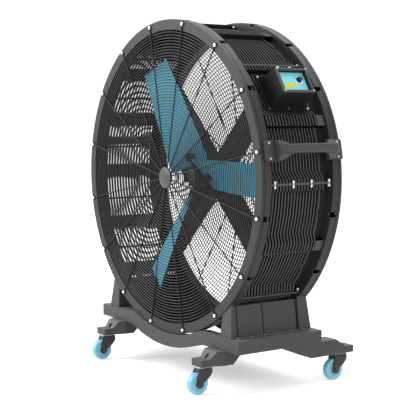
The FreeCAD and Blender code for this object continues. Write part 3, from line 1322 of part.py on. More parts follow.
def frame_screws():
    """Screws of the pillars' feet, the handles, the bezel and the control box's plate."""
    out = V(1, 0, 0)
    feet = [screw(V(FOOT_SCREW_X, y, BASE_TOP + FOOT_T), UP, SCREW_LENGTH) for y in foot_screw_ys()]
    seat_x = RING_OUTER_R + HANDLE_PLATE_T
    places = handle_screw_places()
    grip_length = HANDLE_PLATE_T + RING_WALL_T
    grips = [turn(screw(V(seat_x, y, z), out, grip_length), HANDLE_ANGLE) for y, z in places]
    plate_x, step_x, body_x, bezel_x, front_x = control_levels()
    box = [screw(V(front_x, y, z), out, BEZEL_T + SCREW_LENGTH) for y, z in bezel_screw_places()]
    box += [screw(V(step_x, y, z), out, SCREW_LENGTH) for y, z in plate_screw_places()]
    box = [turn(one, CONTROL_ANGLE) for one in box]
    sides = feet + grips
    return Part.makeCompound(sides + [to_left(one) for one in sides] + box)


def main():
    os.makedirs("parts", exist_ok=True)
    plain_ring = ring()
    handle_holes = Part.makeCompound(handle_screw_holes())
    save("front_ring", plain_ring.cut(handle_holes))
    save("rear_ring", to_rear(plain_ring).cut(handle_holes))
    spokes = guard_spokes()
    save("front_guard_spokes", spokes)
    save("rear_guard_spokes", to_rear(spokes))
    wires = guard_rings()
    save("front_guard_rings", wires)
    save("rear_guard_rings", to_rear(wires))
    cap = guard_cap()
    save("guard_caps", Part.makeCompound([cap, to_rear(cap)]))
    save("guard_bolts", guard_bolts())
    panel = drum_panel()
    for k in range(PANELS):
        save("drum_panel_%d" % (k + 1), turn(panel, BAND_PITCH * 2 * k))
    save("seam_bolts", seam_bolts())
    save("motor_housing", motor_housing())
    save("motor_rear_cover", motor_rear_cover())
    save("stator_core", stator_core())
    save("motor_shaft", motor_shaft())
    save("motor_bearings", motor_bearings())
    strut = motor_strut()
    strut_step = FULL_TURN / STRUTS
    for k in range(STRUTS):
        save("motor_strut_%d" % (k + 1), turn(strut, strut_step * (k + HALF)))
    blade_solid = blade(0)
    blade_space = blade(SIDE_GAP)
    for k, angle in enumerate(blade_angles()):
        save("blade_%d" % (k + 1), turn(blade_solid, angle))
    save("rotor_hub", rotor_hub(blade_space))
    save("blade_clamps", blade_clamps(blade_space))
    save("rotor_cap", rotor_cap())
    save("base_front_beam", base_beam(BASE_HALF_WIDTH, BASE_FRONT_Y, True))
    save("base_rear_beam", base_beam(RAIL_INNER_X, BASE_REAR_Y - BEAM_DEPTH, False))
    right_pieces = {"base_rail": base_rail(), "front_arm": front_arm(), "pillar": pillar()}
    right_pieces["handle"] = turn(handle(), HANDLE_ANGLE)
    for name, shape in right_pieces.items():
        save(name + "_right", shape)
        save(name + "_left", to_left(shape))
    covers = side_covers()
    save("side_covers", Part.makeCompound(covers + [to_left(cover) for cover in covers]))
    save("frame_screws", frame_screws())
    places = castor_places()
    save("castor_stems", Part.makeCompound([castor_stem(x, y) for x, y in places.values()]))
    for name, (x, y) in places.items():
        save("castor_fork_" + name, castor_fork(x, y))
        save("castor_wheel_" + name, castor_wheel(x, y))
    box_pieces = {
        "control_base": control_base(), "control_body": control_body(), "control_bezel": control_bezel(),
        "control_panel": control_panel(), "speed_knob": speed_knob(), "cable_glands": cable_glands()}
    for name, shape in box_pieces.items():
        save(name, turn(shape, CONTROL_ANGLE))


main()
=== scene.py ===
import math

import bmesh
import bpy
import numpy as np
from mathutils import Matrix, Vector


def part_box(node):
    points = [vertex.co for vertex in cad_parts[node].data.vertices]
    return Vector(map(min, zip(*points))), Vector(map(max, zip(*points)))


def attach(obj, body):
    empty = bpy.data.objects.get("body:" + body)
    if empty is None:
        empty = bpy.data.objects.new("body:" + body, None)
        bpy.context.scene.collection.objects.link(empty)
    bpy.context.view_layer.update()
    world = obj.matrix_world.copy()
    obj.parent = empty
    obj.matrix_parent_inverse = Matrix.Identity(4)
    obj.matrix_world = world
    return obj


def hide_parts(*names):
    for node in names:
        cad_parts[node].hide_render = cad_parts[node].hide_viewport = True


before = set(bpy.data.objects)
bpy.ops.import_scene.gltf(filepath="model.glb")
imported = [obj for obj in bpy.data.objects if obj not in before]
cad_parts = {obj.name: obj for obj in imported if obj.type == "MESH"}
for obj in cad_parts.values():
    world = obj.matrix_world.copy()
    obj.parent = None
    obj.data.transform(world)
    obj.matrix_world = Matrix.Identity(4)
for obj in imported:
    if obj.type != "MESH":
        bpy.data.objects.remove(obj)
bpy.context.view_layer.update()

# Sizes and places are in metres, in the frame's axes
WELD_REACH = 1e-6

# Drum, as in the solids
RING_LOW, RING_HIGH = (np.array(corner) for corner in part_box("front_ring"))
DRUM_CENTRE = np.array([0.0, RING_LOW[1], (RING_LOW[2] + RING_HIGH[2]) / 2])
DRUM_DEPTH = 0.450
# The ribs' edge: outward faces past this radius take the full painted light, which fades in over the next
# width
RIB_EDGE_R = 0.711
RIB_EDGE_FADE = 0.004

# Guard wires, with as many rings as the photograph shows
GUARD_WIRE_R = 0.0023
GUARD_INNER_R, GUARD_OUTER_R = 0.062, 0.690
FRONT_WIRES, REAR_WIRES = 46, 31
WIRE_STEPS, WIRE_SIDES = 160, 6

# Seam bolts
SEAMS = 8
SEAM_BOLTS = 4
SEAM_HEAD_R = 0.0065
SEAM_BOLT_LIFT = 0.008
SEAM_BOLT_STEPS = 14
SIDE_SEAM_SINE = 0.5
# Half of a bolt's outline as (along, radius): dome, side, and the step down to the shank
SEAM_BOLT_HALF = np.array([
    [0.0175, 0.0000], [0.0172, 0.0026], [0.0163, 0.0048], [0.0148, 0.0060], [0.0130, 0.0064],
    [0.0052, 0.0064], [0.0052, 0.0040]])

# Castor wheels, with depths from the wheel's face
CASTORS = ("front_left", "front_right", "rear_left", "rear_right")
WHEEL_R = 0.050
WHEEL_HALF = 0.016
WHEEL_STEPS = 72
AXLE_BORE = 0.00605
HUB_R, HUB_ROUND = 0.0165, 0.0015
WEB_INNER_R, WEB_INNER_DEPTH = 0.0185, 0.0040
WEB_OUTER_R, WEB_OUTER_DEPTH = 0.0320, 0.0042
WALL_R, WALL_DEPTH, WALL_ROUND = 0.0345, 0.0025, 0.0015
LIP_R, LIP_DEPTH = 0.0375, 0.0004
RIM_R = 0.0410
TREAD_ROUND = 0.0045
CORNER_POINTS, TREAD_POINTS = 3, 7

# Control panel, as in the solids
CONTROL_ANGLE = math.radians(32.4)
CONTROL_SETBACK = 0.208
PANEL_FACE_R = 0.823
PANEL_OUT = np.array([math.cos(CONTROL_ANGLE), 0, math.sin(CONTROL_ANGLE)])
PANEL_UP = np.array([-math.sin(CONTROL_ANGLE), 0, math.cos(CONTROL_ANGLE)])
PANEL_ALONG = np.array([0.0, 1.0, 0.0])
PANEL_CENTRE = DRUM_CENTRE + CONTROL_SETBACK * PANEL_ALONG + PANEL_FACE_R * PANEL_OUT
KNOB_ALONG, KNOB_UP = 0.039, 0.013
KNOB_TOP = 0.0163

# Print on the panel, and the bar in the knob's notch
LABEL_LEFT, LABEL_BOTTOM = -0.048, -0.025
LABEL_WIDTH, LABEL_HEIGHT = 0.063, 0.021
LABEL_SHARES = np.array([0, 0, 0.04, 0.5, 0.96, 1, 1])
LABEL_LIFTS = np.array([0, 0.0003, 0.0004, 0.0004, 0.0004, 0.0003, 0])
PRINT_LIFTS = np.array([0, 0.0003, 0.0003, 0])
DIAL_START, DIAL_END = 90, -180
DIAL_MARGIN = 7
DIAL_RADII = np.array([0.0172, 0.0174, 0.0194, 0.0196])
DIAL_STEPS = 72
TICKS = 10
TICK_INNER_R, TICK_OUTER_R, TICK_HALF = 0.0194, 0.0228, 0.0006
POINTER_START, POINTER_END, POINTER_HALF = 0.0006, 0.0106, 0.0011
POINTER_ROUND = 0.0006
POINTER_DEPTH = 0.0017
POINTER_END_SHARES = np.array([1.0, 0.3, 0.0, 0.0, 0.3, 1.0])
POINTER_SIDE_SHARES = np.array([1.0, 0.2, 0.0, 0.2, 1.0])

# Grain, dust, and painted light and shade
GRAIN_DEPTH = 0.0004
GRAIN_DETAIL, MOTTLE_DETAIL = 2, 4
FLOOR_DUST_SHADE = (0.42, 0.40, 0.37, 1)
SPECKLE_SCALE, SPECKLE_DETAIL = 60.0, 3
# Dust with a painted sheen of light from the sky above, on faces that look up
DUST_AND_SHEEN_SHADE = (0.235, 0.255, 0.280, 1)
PATCH_SCALE, PATCH_DETAIL = 14.0, 4
PATCH_RANGE = (0.55, 1.3)
LOOKS_UP = (0.35, 0.95)
# How far faces look away from or towards the drum's axis before its painted light and shade show, and the
# share of painted light that faces deep between the ribs keep
LOOKS_ROUND = (0.0, 0.85)
DEEP_SHARE = 0.2

# Studio: each light's place, target, width and power
FLOOR_HALF = 14
FLOOR_POINTS = 3
FLOOR_GLOW = 0.30
WORLD_STRENGTH = 1.15
LIGHTS = {
    "key": ((-3.6, -4.2, 3.4), (0, 0, 0.9), 4.0, 350),
    "side": ((6.0, 0.5, 2.6), (0.3, 0, 0.9), 4.0, 70),
    "top": ((0.3, -0.3, 5.6), (0, 0, 0.9), 4.5, 150),
}

# The photograph's view
CAMERA_PLACE = (4.4535, -3.0934, 1.2635)
CAMERA_TARGET = (0.3477, -0.2470, 0.8273)
CAMERA_LENS = 95.4
CAMERA_SENSOR = 36.0


# Mesh helpers

def full_turn(count):
    """Angles at equal steps round a circle."""
    return np.linspace(0, 2 * np.pi, count, endpoint=False)


def grid_quads(rows, cols, close_rows, close_cols):
    """Quads of a grid: each joins a point to the next in its row and to the same two in the next row.

    With its columns reversed, the array gives the same quads turned over.
    """
    i = np.arange(rows if close_rows else rows - 1)
    j = np.arange(cols if close_cols else cols - 1)
    i, j = np.meshgrid(i, j, indexing="ij")
    down, across = (i + 1) % rows, (j + 1) % cols
    corners = [i * cols + j, down * cols + j, down * cols + across, i * cols + across]
    return np.stack(corners, -1).reshape(-1, 4)


def repeat_quads(quads, copies, points):
    """The same quads for each of several copies, which follow each other with so many points each."""
    start = np.arange(copies) * points
    return (quads[None] + start[:, None, None]).reshape(-1, 4)


def add_piece(name, points, quads, material, smooth=True):
    """A mesh object at the origin from arrays of points and quads, with points that coincide welded."""
    mesh = bpy.data.meshes.new(name)
    points = np.asarray(points, np.float32).reshape(-1, 3)
    mesh.vertices.add(len(points))
    mesh.vertices.foreach_set("co", points.ravel())
    mesh.loops.add(quads.size)
    mesh.loops.foreach_set("vertex_index", quads.astype(np.int32).ravel())
    mesh.polygons.add(len(quads))
    mesh.polygons.foreach_set("loop_start", np.arange(0, quads.size, 4, dtype=np.int32))
    mesh.polygons.foreach_set("use_smooth", np.full(len(quads), smooth))
    mesh.update(calc_edges=True)
    shape = bmesh.new()
    shape.from_mesh(mesh)
    bmesh.ops.remove_doubles(shape, verts=shape.verts, dist=WELD_REACH)
    shape.to_mesh(mesh)
    shape.free()
    mesh.materials.append(material)
    piece = bpy.data.objects.new(name, mesh)
    bpy.context.scene.collection.objects.link(piece)
    return piece


# Shader nodes

def set_socket(tree, socket, value):
    """Links a socket to the one that is given, or sets it to a plain value."""
    if isinstance(value, bpy.types.NodeSocket):
        tree.links.new(value, socket)
    else:
        socket.default_value = value


def noise_node(tree, coords, scale, detail):
    """Noise of 0 to 1 over the given coordinates."""
    node = tree.nodes.new("ShaderNodeTexNoise")
    tree.links.new(coords, node.inputs["Vector"])
    set_socket(tree, node.inputs["Scale"], scale)
    set_socket(tree, node.inputs["Detail"], detail)
    return node.outputs["Fac"]


def range_node(tree, value, source, target, smooth=False):
    """Carries a value from one range to another, each a pair of numbers or sockets, and stops at its ends."""
    node = tree.nodes.new("ShaderNodeMapRange")
    if smooth:
        node.interpolation_type = "SMOOTHSTEP"
    tree.links.new(value, node.inputs["Value"])
    for label, bound in zip(("From Min", "From Max", "To Min", "To Max"), (*source, *target)):
        set_socket(tree, node.inputs[label], bound)
    return node.outputs["Result"]


def mix_node(tree, share, first, second):
    """The first colour, with a share of the second."""
    node = tree.nodes.new("ShaderNodeMix")
    node.data_type = "RGBA"
    tree.links.new(share, node.inputs["Factor"])
    for label, colour in (("A", first), ("B", second)):
        socket = [s for s in node.inputs if s.name == label and s.type == "RGBA"][0]
        set_socket(tree, socket, colour)
    return [s for s in node.outputs if s.type == "RGBA"][0]


def math_node(tree, operation, first, second):
    """A calculation with two values."""
    node = tree.nodes.new("ShaderNodeMath")
    node.operation = operation
    tree.links.new(first, node.inputs[0])
    tree.links.new(second, node.inputs[1])
    return node.outputs[0]


def vector_node(tree, operation, *vectors):
    """A calculation with vectors, each a socket or three numbers."""
    node = tree.nodes.new("ShaderNodeVectorMath")
    node.operation = operation
    for socket, vector in zip(node.inputs, vectors):
        set_socket(tree, socket, vector)
    return node


def upward_part(tree, vector):
    """The upward part of a vector."""
    node = tree.nodes.new("ShaderNodeSeparateXYZ")
    tree.links.new(vector, node.inputs[0])
    return node.outputs["Z"]


def new_group(name, inputs, outputs):
    """An empty shader group with named inputs (kind and usual value) and outputs (kind)."""
    group = bpy.data.node_groups.new(name, "ShaderNodeTree")
    for label, (kind, value) in inputs.items():
        socket = group.interface.new_socket(label, in_out="INPUT", socket_type=kind)
        socket.default_value = value
    for label, kind in outputs.items():
        group.interface.new_socket(label, in_out="OUTPUT", socket_type=kind)
    return group, group.nodes.new("NodeGroupInput"), group.nodes.new("NodeGroupOutput")


def use_group(tree, group, values):
    """A group's node in a material, with its inputs set or linked by name."""
    node = tree.nodes.new("ShaderNodeGroup")
    node.node_tree = group
    for label, value in values.items():
        set_socket(tree, node.inputs[label], value)
    return node


# Effects that materials share

def surface_grain_group():
    """Fine grain and slow mottling: the colour drifts between two shades, grain drives gloss and height."""
    inputs = {
        "Color": ("NodeSocketColor", (0.1, 0.1, 0.1, 1)),
        "Second Color": ("NodeSocketColor", (0.08, 0.08, 0.08, 1)),
        "Grain Scale": ("NodeSocketFloat", 900.0), "Mottle Scale": ("NodeSocketFloat", 9.0),
        "Rough Low": ("NodeSocketFloat", 0.4), "Rough High": ("NodeSocketFloat", 0.6)}
    outputs = {"Color": "NodeSocketColor", "Roughness": "NodeSocketFloat", "Height": "NodeSocketFloat"}
    group, given, result = new_group("surface_grain", inputs, outputs)
    coords = group.nodes.new("ShaderNodeTexCoord").outputs["Object"]
    grain = noise_node(group, coords, given.outputs["Grain Scale"], GRAIN_DETAIL)
    mottle = noise_node(group, coords, given.outputs["Mottle Scale"], MOTTLE_DETAIL)
    colour = mix_node(group, mottle, given.outputs["Color"], given.outputs["Second Color"])
    rough = range_node(group, grain, (0, 1), (given.outputs["Rough Low"], given.outputs["Rough High"]))
    group.links.new(colour, result.inputs["Color"])
    group.links.new(rough, result.inputs["Roughness"])
    group.links.new(grain, result.inputs["Height"])
    return group


def floor_dust_group():
    """A thin film of dust that fades out with height above the floor."""
    inputs = {"Color": ("NodeSocketColor", (0.1, 0.1, 0.1, 1)), "Reach": ("NodeSocketFloat", 0.3),
              "Strength": ("NodeSocketFloat", 0.2)}
    group, given, result = new_group("floor_dust", inputs, {"Color": "NodeSocketColor"})
    coords = group.nodes.new("ShaderNodeTexCoord").outputs["Object"]
    height = upward_part(group, coords)
    fade = range_node(group, height, (0, given.outputs["Reach"]), (given.outputs["Strength"], 0))
    speckle = noise_node(group, coords, SPECKLE_SCALE, SPECKLE_DETAIL)
    share = math_node(group, "MULTIPLY", fade, speckle)
    dusty = mix_node(group, share, given.outputs["Color"], FLOOR_DUST_SHADE)
    group.links.new(dusty, result.inputs["Color"])
    return group


def dust_and_sheen_group():
    """A pale, patchy shade on faces that look up, dust with a painted sheen of light from above, and none on
    faces that stand or look down.
    """
    inputs = {"Color": ("NodeSocketColor", (0.1, 0.1, 0.1, 1)), "Strength": ("NodeSocketFloat", 0.3)}
    group, given, result = new_group("dust_and_top_sheen", inputs, {"Color": "NodeSocketColor"})
    coords = group.nodes.new("ShaderNodeTexCoord")
    facing = upward_part(group, coords.outputs["Normal"])
    fade = range_node(group, facing, LOOKS_UP, (0, given.outputs["Strength"]), smooth=True)
    noise = noise_node(group, coords.outputs["Object"], PATCH_SCALE, PATCH_DETAIL)
    patches = range_node(group, noise, (0, 1), PATCH_RANGE)
    share = math_node(group, "MULTIPLY", fade, patches)
    dusty = mix_node(group, share, given.outputs["Color"], DUST_AND_SHEEN_SHADE)
    group.links.new(dusty, result.inputs["Color"])
    return group


def painted_drum_shading_group():
    """Painted light and shade round the drum: a second shade on faces that look away from the drum's axis
    (Side 1) or towards it (Side -1).

    Inside the given radius only a share of it shows, so that the painted shade deep between the ribs stays
    dark.
    """
    inputs = {
        "Color": ("NodeSocketColor", (0.1, 0.1, 0.1, 1)),
        "Face Color": ("NodeSocketColor", (0.2, 0.2, 0.2, 1)),
        "Side": ("NodeSocketFloat", 1.0), "From Radius": ("NodeSocketFloat", 0.0)}
    group, given, result = new_group("painted_drum_shading", inputs, {"Color": "NodeSocketColor"})
    coords = group.nodes.new("ShaderNodeTexCoord")
    from_axis = vector_node(group, "MULTIPLY_ADD", coords.outputs["Object"], (1, 0, 1),
                            (0, 0, -DRUM_CENTRE[2]))
    outward = vector_node(group, "NORMALIZE", from_axis.outputs["Vector"])
    facing = vector_node(group, "DOT_PRODUCT", outward.outputs["Vector"], coords.outputs["Normal"])
    sided = math_node(group, "MULTIPLY", facing.outputs["Value"], given.outputs["Side"])
    fade = range_node(group, sided, LOOKS_ROUND, (0, 1), smooth=True)
    radius = vector_node(group, "LENGTH", from_axis.outputs["Vector"])
    past = math_node(group, "SUBTRACT", radius.outputs["Value"], given.outputs["From Radius"])
    depth = range_node(group, past, (0, RIB_EDGE_FADE), (DEEP_SHARE, 1))
    share = math_node(group, "MULTIPLY", fade, depth)
    shade = mix_node(group, share, given.outputs["Color"], given.outputs["Face Color"])
    group.links.new(shade, result.inputs["Color"])
    return group


SURFACE_GRAIN = surface_grain_group()
PAINTED_DRUM_SHADING = painted_drum_shading_group()
DUST_AND_SHEEN = dust_and_sheen_group()
FLOOR_DUST = floor_dust_group()


# Finishes

def finish(name, colour, second, rough, bump, grain_scale=900.0, mottle_scale=9.0, metallic=0.0, specular=0.5,
           dust=0.0, dust_reach=0.3, dust_and_sheen_strength=0.0, outer=None, painted_inner_shade=None):
    """A material: groups give its colour, gloss and height, and what is even all over is set on the shader.

    Colour and second are shades, rough is a range, and dust is the strength of dust near the floor. The
    strength of dust on faces that look up also paints a sheen of light there, and the two last shades are
    painted light on faces that look away from the drum's axis and painted shade on faces that look towards
    it.
    """
    material = bpy.data.materials.new(name)
    material.use_nodes = True
    tree = material.node_tree
    shader = tree.nodes["Principled BSDF"]
    grain = use_group(tree, SURFACE_GRAIN, {
        "Color": (*colour, 1), "Second Color": (*second, 1), "Grain Scale": grain_scale,
        "Mottle Scale": mottle_scale, "Rough Low": rough[0], "Rough High": rough[1]})
    shown = grain.outputs["Color"]
    # Dust, with a painted sheen of light, on faces that look up
    if dust_and_sheen_strength:
        shown = use_group(tree, DUST_AND_SHEEN, {"Color": shown, "Strength": dust_and_sheen_strength}).outputs["Color"]
    # Painted light on faces that look away from the drum's axis
    if outer:
        away = {"Color": shown, "Face Color": (*outer, 1), "Side": 1.0, "From Radius": RIB_EDGE_R}
        shown = use_group(tree, PAINTED_DRUM_SHADING, away).outputs["Color"]
    # Painted shade on faces that look towards the drum's axis
    if painted_inner_shade:
        towards = {"Color": shown, "Face Color": (*painted_inner_shade, 1), "Side": -1.0, "From Radius": 0.0}
        shown = use_group(tree, PAINTED_DRUM_SHADING, towards).outputs["Color"]
    if dust:
        low = {"Color": shown, "Reach": dust_reach, "Strength": dust}
        shown = use_group(tree, FLOOR_DUST, low).outputs["Color"]
    tree.links.new(shown, shader.inputs["Base Color"])
    tree.links.new(grain.outputs["Roughness"], shader.inputs["Roughness"])
    relief = tree.nodes.new("ShaderNodeBump")
    relief.inputs["Strength"].default_value = bump
    relief.inputs["Distance"].default_value = GRAIN_DEPTH
    tree.links.new(grain.outputs["Height"], relief.inputs["Height"])
    tree.links.new(relief.outputs["Normal"], shader.inputs["Normal"])
    shader.inputs["Metallic"].default_value = metallic
    shader.inputs["Specular IOR Level"].default_value = specular
    return material


# Drum and base
# Rings: the casing's charcoal painted darker as painted shade on their faces, with painted shade on faces
# that look towards the drum's axis, and dust with a painted sheen of light on faces that look up
RING = finish("ring_charcoal", (0.021, 0.021, 0.022), (0.017, 0.017, 0.018), rough=(0.42, 0.58), bump=0.25,
              specular=0.22, dust_and_sheen_strength=0.30, painted_inner_shade=(0.0025, 0.0025, 0.0026))
# Drum panels: the base colour is painted shade, far darker than the charcoal of the rest, and faces that look
# out past the ribs' edge take a painted light shade
DRUM = finish("drum_charcoal", (0.0018, 0.0018, 0.0019), (0.0014, 0.0014, 0.0015), rough=(0.52, 0.68),
              bump=0.2, specular=0.03, outer=(0.062, 0.062, 0.063))
# Casing: dust near the floor, and dust with a painted sheen of light on faces that look up
CASING = finish("casing_charcoal", (0.036, 0.036, 0.036), (0.031, 0.031, 0.031), rough=(0.42, 0.58),
                bump=0.25, specular=0.25, dust=0.04, dust_and_sheen_strength=0.35)
# Handles: dust with a painted sheen of light on faces that look up
HANDLE = finish("handle_charcoal", (0.034, 0.034, 0.035), (0.029, 0.029, 0.030), rough=(0.36, 0.50),
                bump=0.2, specular=0.28, dust_and_sheen_strength=0.12)

# Control box
BOX = finish("box_black", (0.0050, 0.0052, 0.0060), (0.0065, 0.0067, 0.0075), rough=(0.42, 0.56), bump=0.2,
             specular=0.12)
BEZEL = finish("bezel_black", (0.047, 0.047, 0.048), (0.040, 0.040, 0.041), rough=(0.38, 0.52), bump=0.15,
               specular=0.3)
KNOB = finish("knob_black", (0.008, 0.008, 0.009), (0.011, 0.011, 0.012), rough=(0.30, 0.42), bump=0.1,
              specular=0.3)
PANEL = finish("panel_turquoise", (0.14, 0.47, 0.55), (0.16, 0.50, 0.58), rough=(0.3, 0.4), bump=0.03,
               mottle_scale=30)
LABEL = finish("label_yellow", (0.54, 0.47, 0.004), (0.50, 0.43, 0.006), rough=(0.45, 0.55), bump=0.02,
               mottle_scale=60, specular=0.08)
PRINT = finish("print_white", (0.88, 0.90, 0.91), (0.82, 0.85, 0.86), rough=(0.4, 0.5), bump=0.02,
               mottle_scale=60)
POINTER = finish("pointer_grey", (0.24, 0.24, 0.24), (0.20, 0.20, 0.20), rough=(0.4, 0.5), bump=0.02,
                 mottle_scale=60, specular=0.2)

# Rotor, motor and castors
BLADE = finish("blade_blue", (0.047, 0.270, 0.378), (0.048, 0.270, 0.375), rough=(0.42, 0.55), bump=0.06,
               mottle_scale=5, specular=0.3)
HUB = finish("hub_grey", (0.008, 0.008, 0.008), (0.006, 0.006, 0.006), rough=(0.35, 0.5), bump=0.2,
             grain_scale=300, specular=0.3)
CAP = finish("cap_grey", (0.036, 0.036, 0.036), (0.032, 0.032, 0.032), rough=(0.3, 0.42), bump=0.04,
             mottle_scale=30, specular=0.35)
MOTOR = finish("motor_grey", (0.0046, 0.0044, 0.0042), (0.0038, 0.0036, 0.0034), rough=(0.45, 0.6), bump=0.15,
               grain_scale=500, specular=0.12)
WHEEL = finish("wheel_blue", (0.138, 0.362, 0.480), (0.156, 0.390, 0.510), rough=(0.35, 0.5), bump=0.08,
               mottle_scale=40, dust=0.06, dust_reach=0.06)
FORK = finish("fork_black", (0.018, 0.017, 0.016), (0.014, 0.0135, 0.013), rough=(0.38, 0.52), bump=0.12,
              grain_scale=600, specular=0.3, dust=0.08, dust_reach=0.12)

# Guards
SPOKE = finish("spoke_black", (0.015, 0.015, 0.0154), (0.018, 0.018, 0.0184), rough=(0.4, 0.55), bump=0.05,
               grain_scale=400, specular=0.12)
# Wires: dust with a painted sheen of light on their upper sides
WIRE = finish("wire_black", (0.018, 0.018, 0.0185), (0.022, 0.022, 0.0225), rough=(0.40, 0.52), bump=0.05,
              grain_scale=400, specular=0.15, dust_and_sheen_strength=0.40)

# Fasteners and bare metal
ZINC = finish("bolt_zinc", (0.86, 0.86, 0.85), (0.74, 0.74, 0.74), rough=(0.18, 0.34), bump=0.05,
              grain_scale=700, mottle_scale=60, metallic=1.0)
SEAM_ZINC = finish("seam_bolt_zinc", (0.72, 0.72, 0.71), (0.60, 0.60, 0.60), rough=(0.25, 0.4), bump=0.05,
                   grain_scale=700, mottle_scale=60, metallic=0.5)
STEEL = finish("shaft_steel", (0.46, 0.46, 0.47), (0.38, 0.38, 0.39), rough=(0.25, 0.4), bump=0.05,
               grain_scale=500, metallic=1.0)
CHROME = finish("gland_chrome", (0.86, 0.87, 0.89), (0.80, 0.81, 0.83), rough=(0.06, 0.14), bump=0.01,
                mottle_scale=40, metallic=1.0)

NODE_FINISHES = {
    RING: ["front_ring", "rear_ring"],
    CASING: ["base_front_beam", "base_rear_beam", "base_rail_left", "base_rail_right", "front_arm_left",
             "front_arm_right", "pillar_left", "pillar_right", "side_covers"],
    HANDLE: ["handle_left", "handle_right"],
    DRUM: ["drum_panel_%d" % k for k in range(1, SEAMS + 1)],
    BOX: ["control_base", "control_body"],
    BEZEL: ["control_bezel"],
    KNOB: ["speed_knob"],
    PANEL: ["control_panel"],
    BLADE: ["blade_1", "blade_2", "blade_3"],
    SPOKE: ["front_guard_spokes", "rear_guard_spokes"],
    FORK: ["castor_fork_" + side for side in CASTORS],
    MOTOR: ["motor_housing", "motor_rear_cover"] + ["motor_strut_%d" % k for k in range(1, 5)],
    HUB: ["rotor_hub", "blade_clamps"],
    CAP: ["guard_caps", "rotor_cap"],
    ZINC: ["guard_bolts"],
    STEEL: ["frame_screws", "castor_stems", "motor_shaft", "motor_bearings", "stator_core"],
    CHROME: ["cable_glands"],
}


def dress_nodes():
    """Gives each solid that stays in view its finish."""
    for material, names in NODE_FINISHES.items():
        for name in names:
            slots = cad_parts[name].data.materials
            slots.clear()
            slots.append(material)


# Guard wires

def guard_wires(name, node, axial, wires):
    """Wire rings: a circle of the wire's radius carried round each ring's circle, both angles on one grid."""
    radii = np.linspace(GUARD_INNER_R, GUARD_OUTER_R, wires)[:, None, None]
    around = full_turn(WIRE_STEPS)[None, :, None]
    section = full_turn(WIRE_SIDES)[None, None, :]
    reach = radii + GUARD_WIRE_R * np.cos(section)
    x = reach * np.cos(around)
    z = reach * np.sin(around)
    y = axial + GUARD_WIRE_R * np.sin(section) + 0 * x
    points = np.stack([x, y, z], -1) + DRUM_CENTRE
    ring = grid_quads(WIRE_STEPS, WIRE_SIDES, True, True)[:, ::-1]
    piece = add_piece(name, points, repeat_quads(ring, wires, WIRE_STEPS * WIRE_SIDES), WIRE)
    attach(piece, "frame")
    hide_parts(node)


# Seam bolts

def seam_bolts():
    """Seam bolts: a domed head, a shank and a domed nut as one profile, turned about an axis round the drum.

    Those of the two seams at the drum's sides stand out by the lift, and the others lie as in the solids.
    """
    low, high = (np.array(corner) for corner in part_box("seam_bolts"))
    places = np.linspace(low[1] + SEAM_HEAD_R, high[1] - SEAM_HEAD_R, SEAM_BOLTS)
    profile = np.concatenate([SEAM_BOLT_HALF * [-1, 1], SEAM_BOLT_HALF[::-1]])
    seam = full_turn(SEAMS)[:, None, None, None]
    place = places[None, :, None, None]
    turn = full_turn(SEAM_BOLT_STEPS)[None, None, :, None]
    along, radius = profile.T
    lift = np.where(np.abs(np.sin(seam)) > SIDE_SEAM_SINE, 0, SEAM_BOLT_LIFT)
    out = high[0] - SEAM_HEAD_R + lift + radius * np.cos(turn)
    x = out * np.cos(seam) - along * np.sin(seam) + 0 * place
    z = out * np.sin(seam) + along * np.cos(seam) + 0 * place
    y = place - DRUM_CENTRE[1] + radius * np.sin(turn) + 0 * x
    points = np.stack([x, y, z], -1) + DRUM_CENTRE
    bolt = grid_quads(SEAM_BOLT_STEPS, len(profile), True, False)
    quads = repeat_quads(bolt, SEAMS * SEAM_BOLTS, SEAM_BOLT_STEPS * len(profile))
    piece = add_piece("seam_bolt_set", points, quads, SEAM_ZINC)
    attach(piece, "frame")
    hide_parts("seam_bolts")


# Castor wheels

def corner_arc(across, radius, size, start, end, count):
    """Points of a rounded corner of a profile: its centre, its own radius, and its first and last angle."""
    angle = np.radians(np.linspace(start, end, count))
    return np.stack([across + size * np.cos(angle), radius + size * np.sin(angle)], -1)


def wheel_profile():
    """Half of the wheel's section as (across, radius): hub face, dished web, stepped wall, rounded tread."""
    face = WHEEL_HALF
    bore = [[face, AXLE_BORE], [face, HUB_R]]
    hub = corner_arc(face - HUB_ROUND, HUB_R, HUB_ROUND, 0, 90, CORNER_POINTS)
    web = [[face - WEB_INNER_DEPTH, WEB_INNER_R], [face - WEB_OUTER_DEPTH, WEB_OUTER_R]]
    wall = corner_arc(face - WALL_DEPTH, WALL_R, WALL_ROUND, -90, 0, CORNER_POINTS)
    rim = [[face - LIP_DEPTH, LIP_R], [face, RIM_R]]
    tread = corner_arc(face - TREAD_ROUND, WHEEL_R - TREAD_ROUND, TREAD_ROUND, 0, 90, TREAD_POINTS)
    return np.concatenate([bore, hub, web, wall, rim, tread])


def castor_wheel(side):
    """A wheel: its section and the section's mirror image, turned about the axle."""
    low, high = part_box("castor_wheel_" + side)
    centre = (np.array(low) + np.array(high)) / 2
    half = wheel_profile()
    profile = np.concatenate([half, half[::-1] * [-1, 1]])
    across, radius = profile.T
    around = full_turn(WHEEL_STEPS)[:, None]
    points = np.stack([across + 0 * around, radius * np.cos(around), radius * np.sin(around)], -1) + centre
    quads = grid_quads(WHEEL_STEPS, len(profile), True, True)[:, ::-1]
    piece = add_piece("wheel_" + side, points, quads, WHEEL)
    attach(piece, "wheel_" + side)
    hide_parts("castor_wheel_" + side)


# Panel print and knob

def on_panel(along, up, lift):
    """Points at the control panel, given along the fan's axis, up the panel and out from its face."""
    flat = np.multiply.outer(along, PANEL_ALONG) + np.multiply.outer(up, PANEL_UP)
    return PANEL_CENTRE + flat + np.multiply.outer(lift, PANEL_OUT)


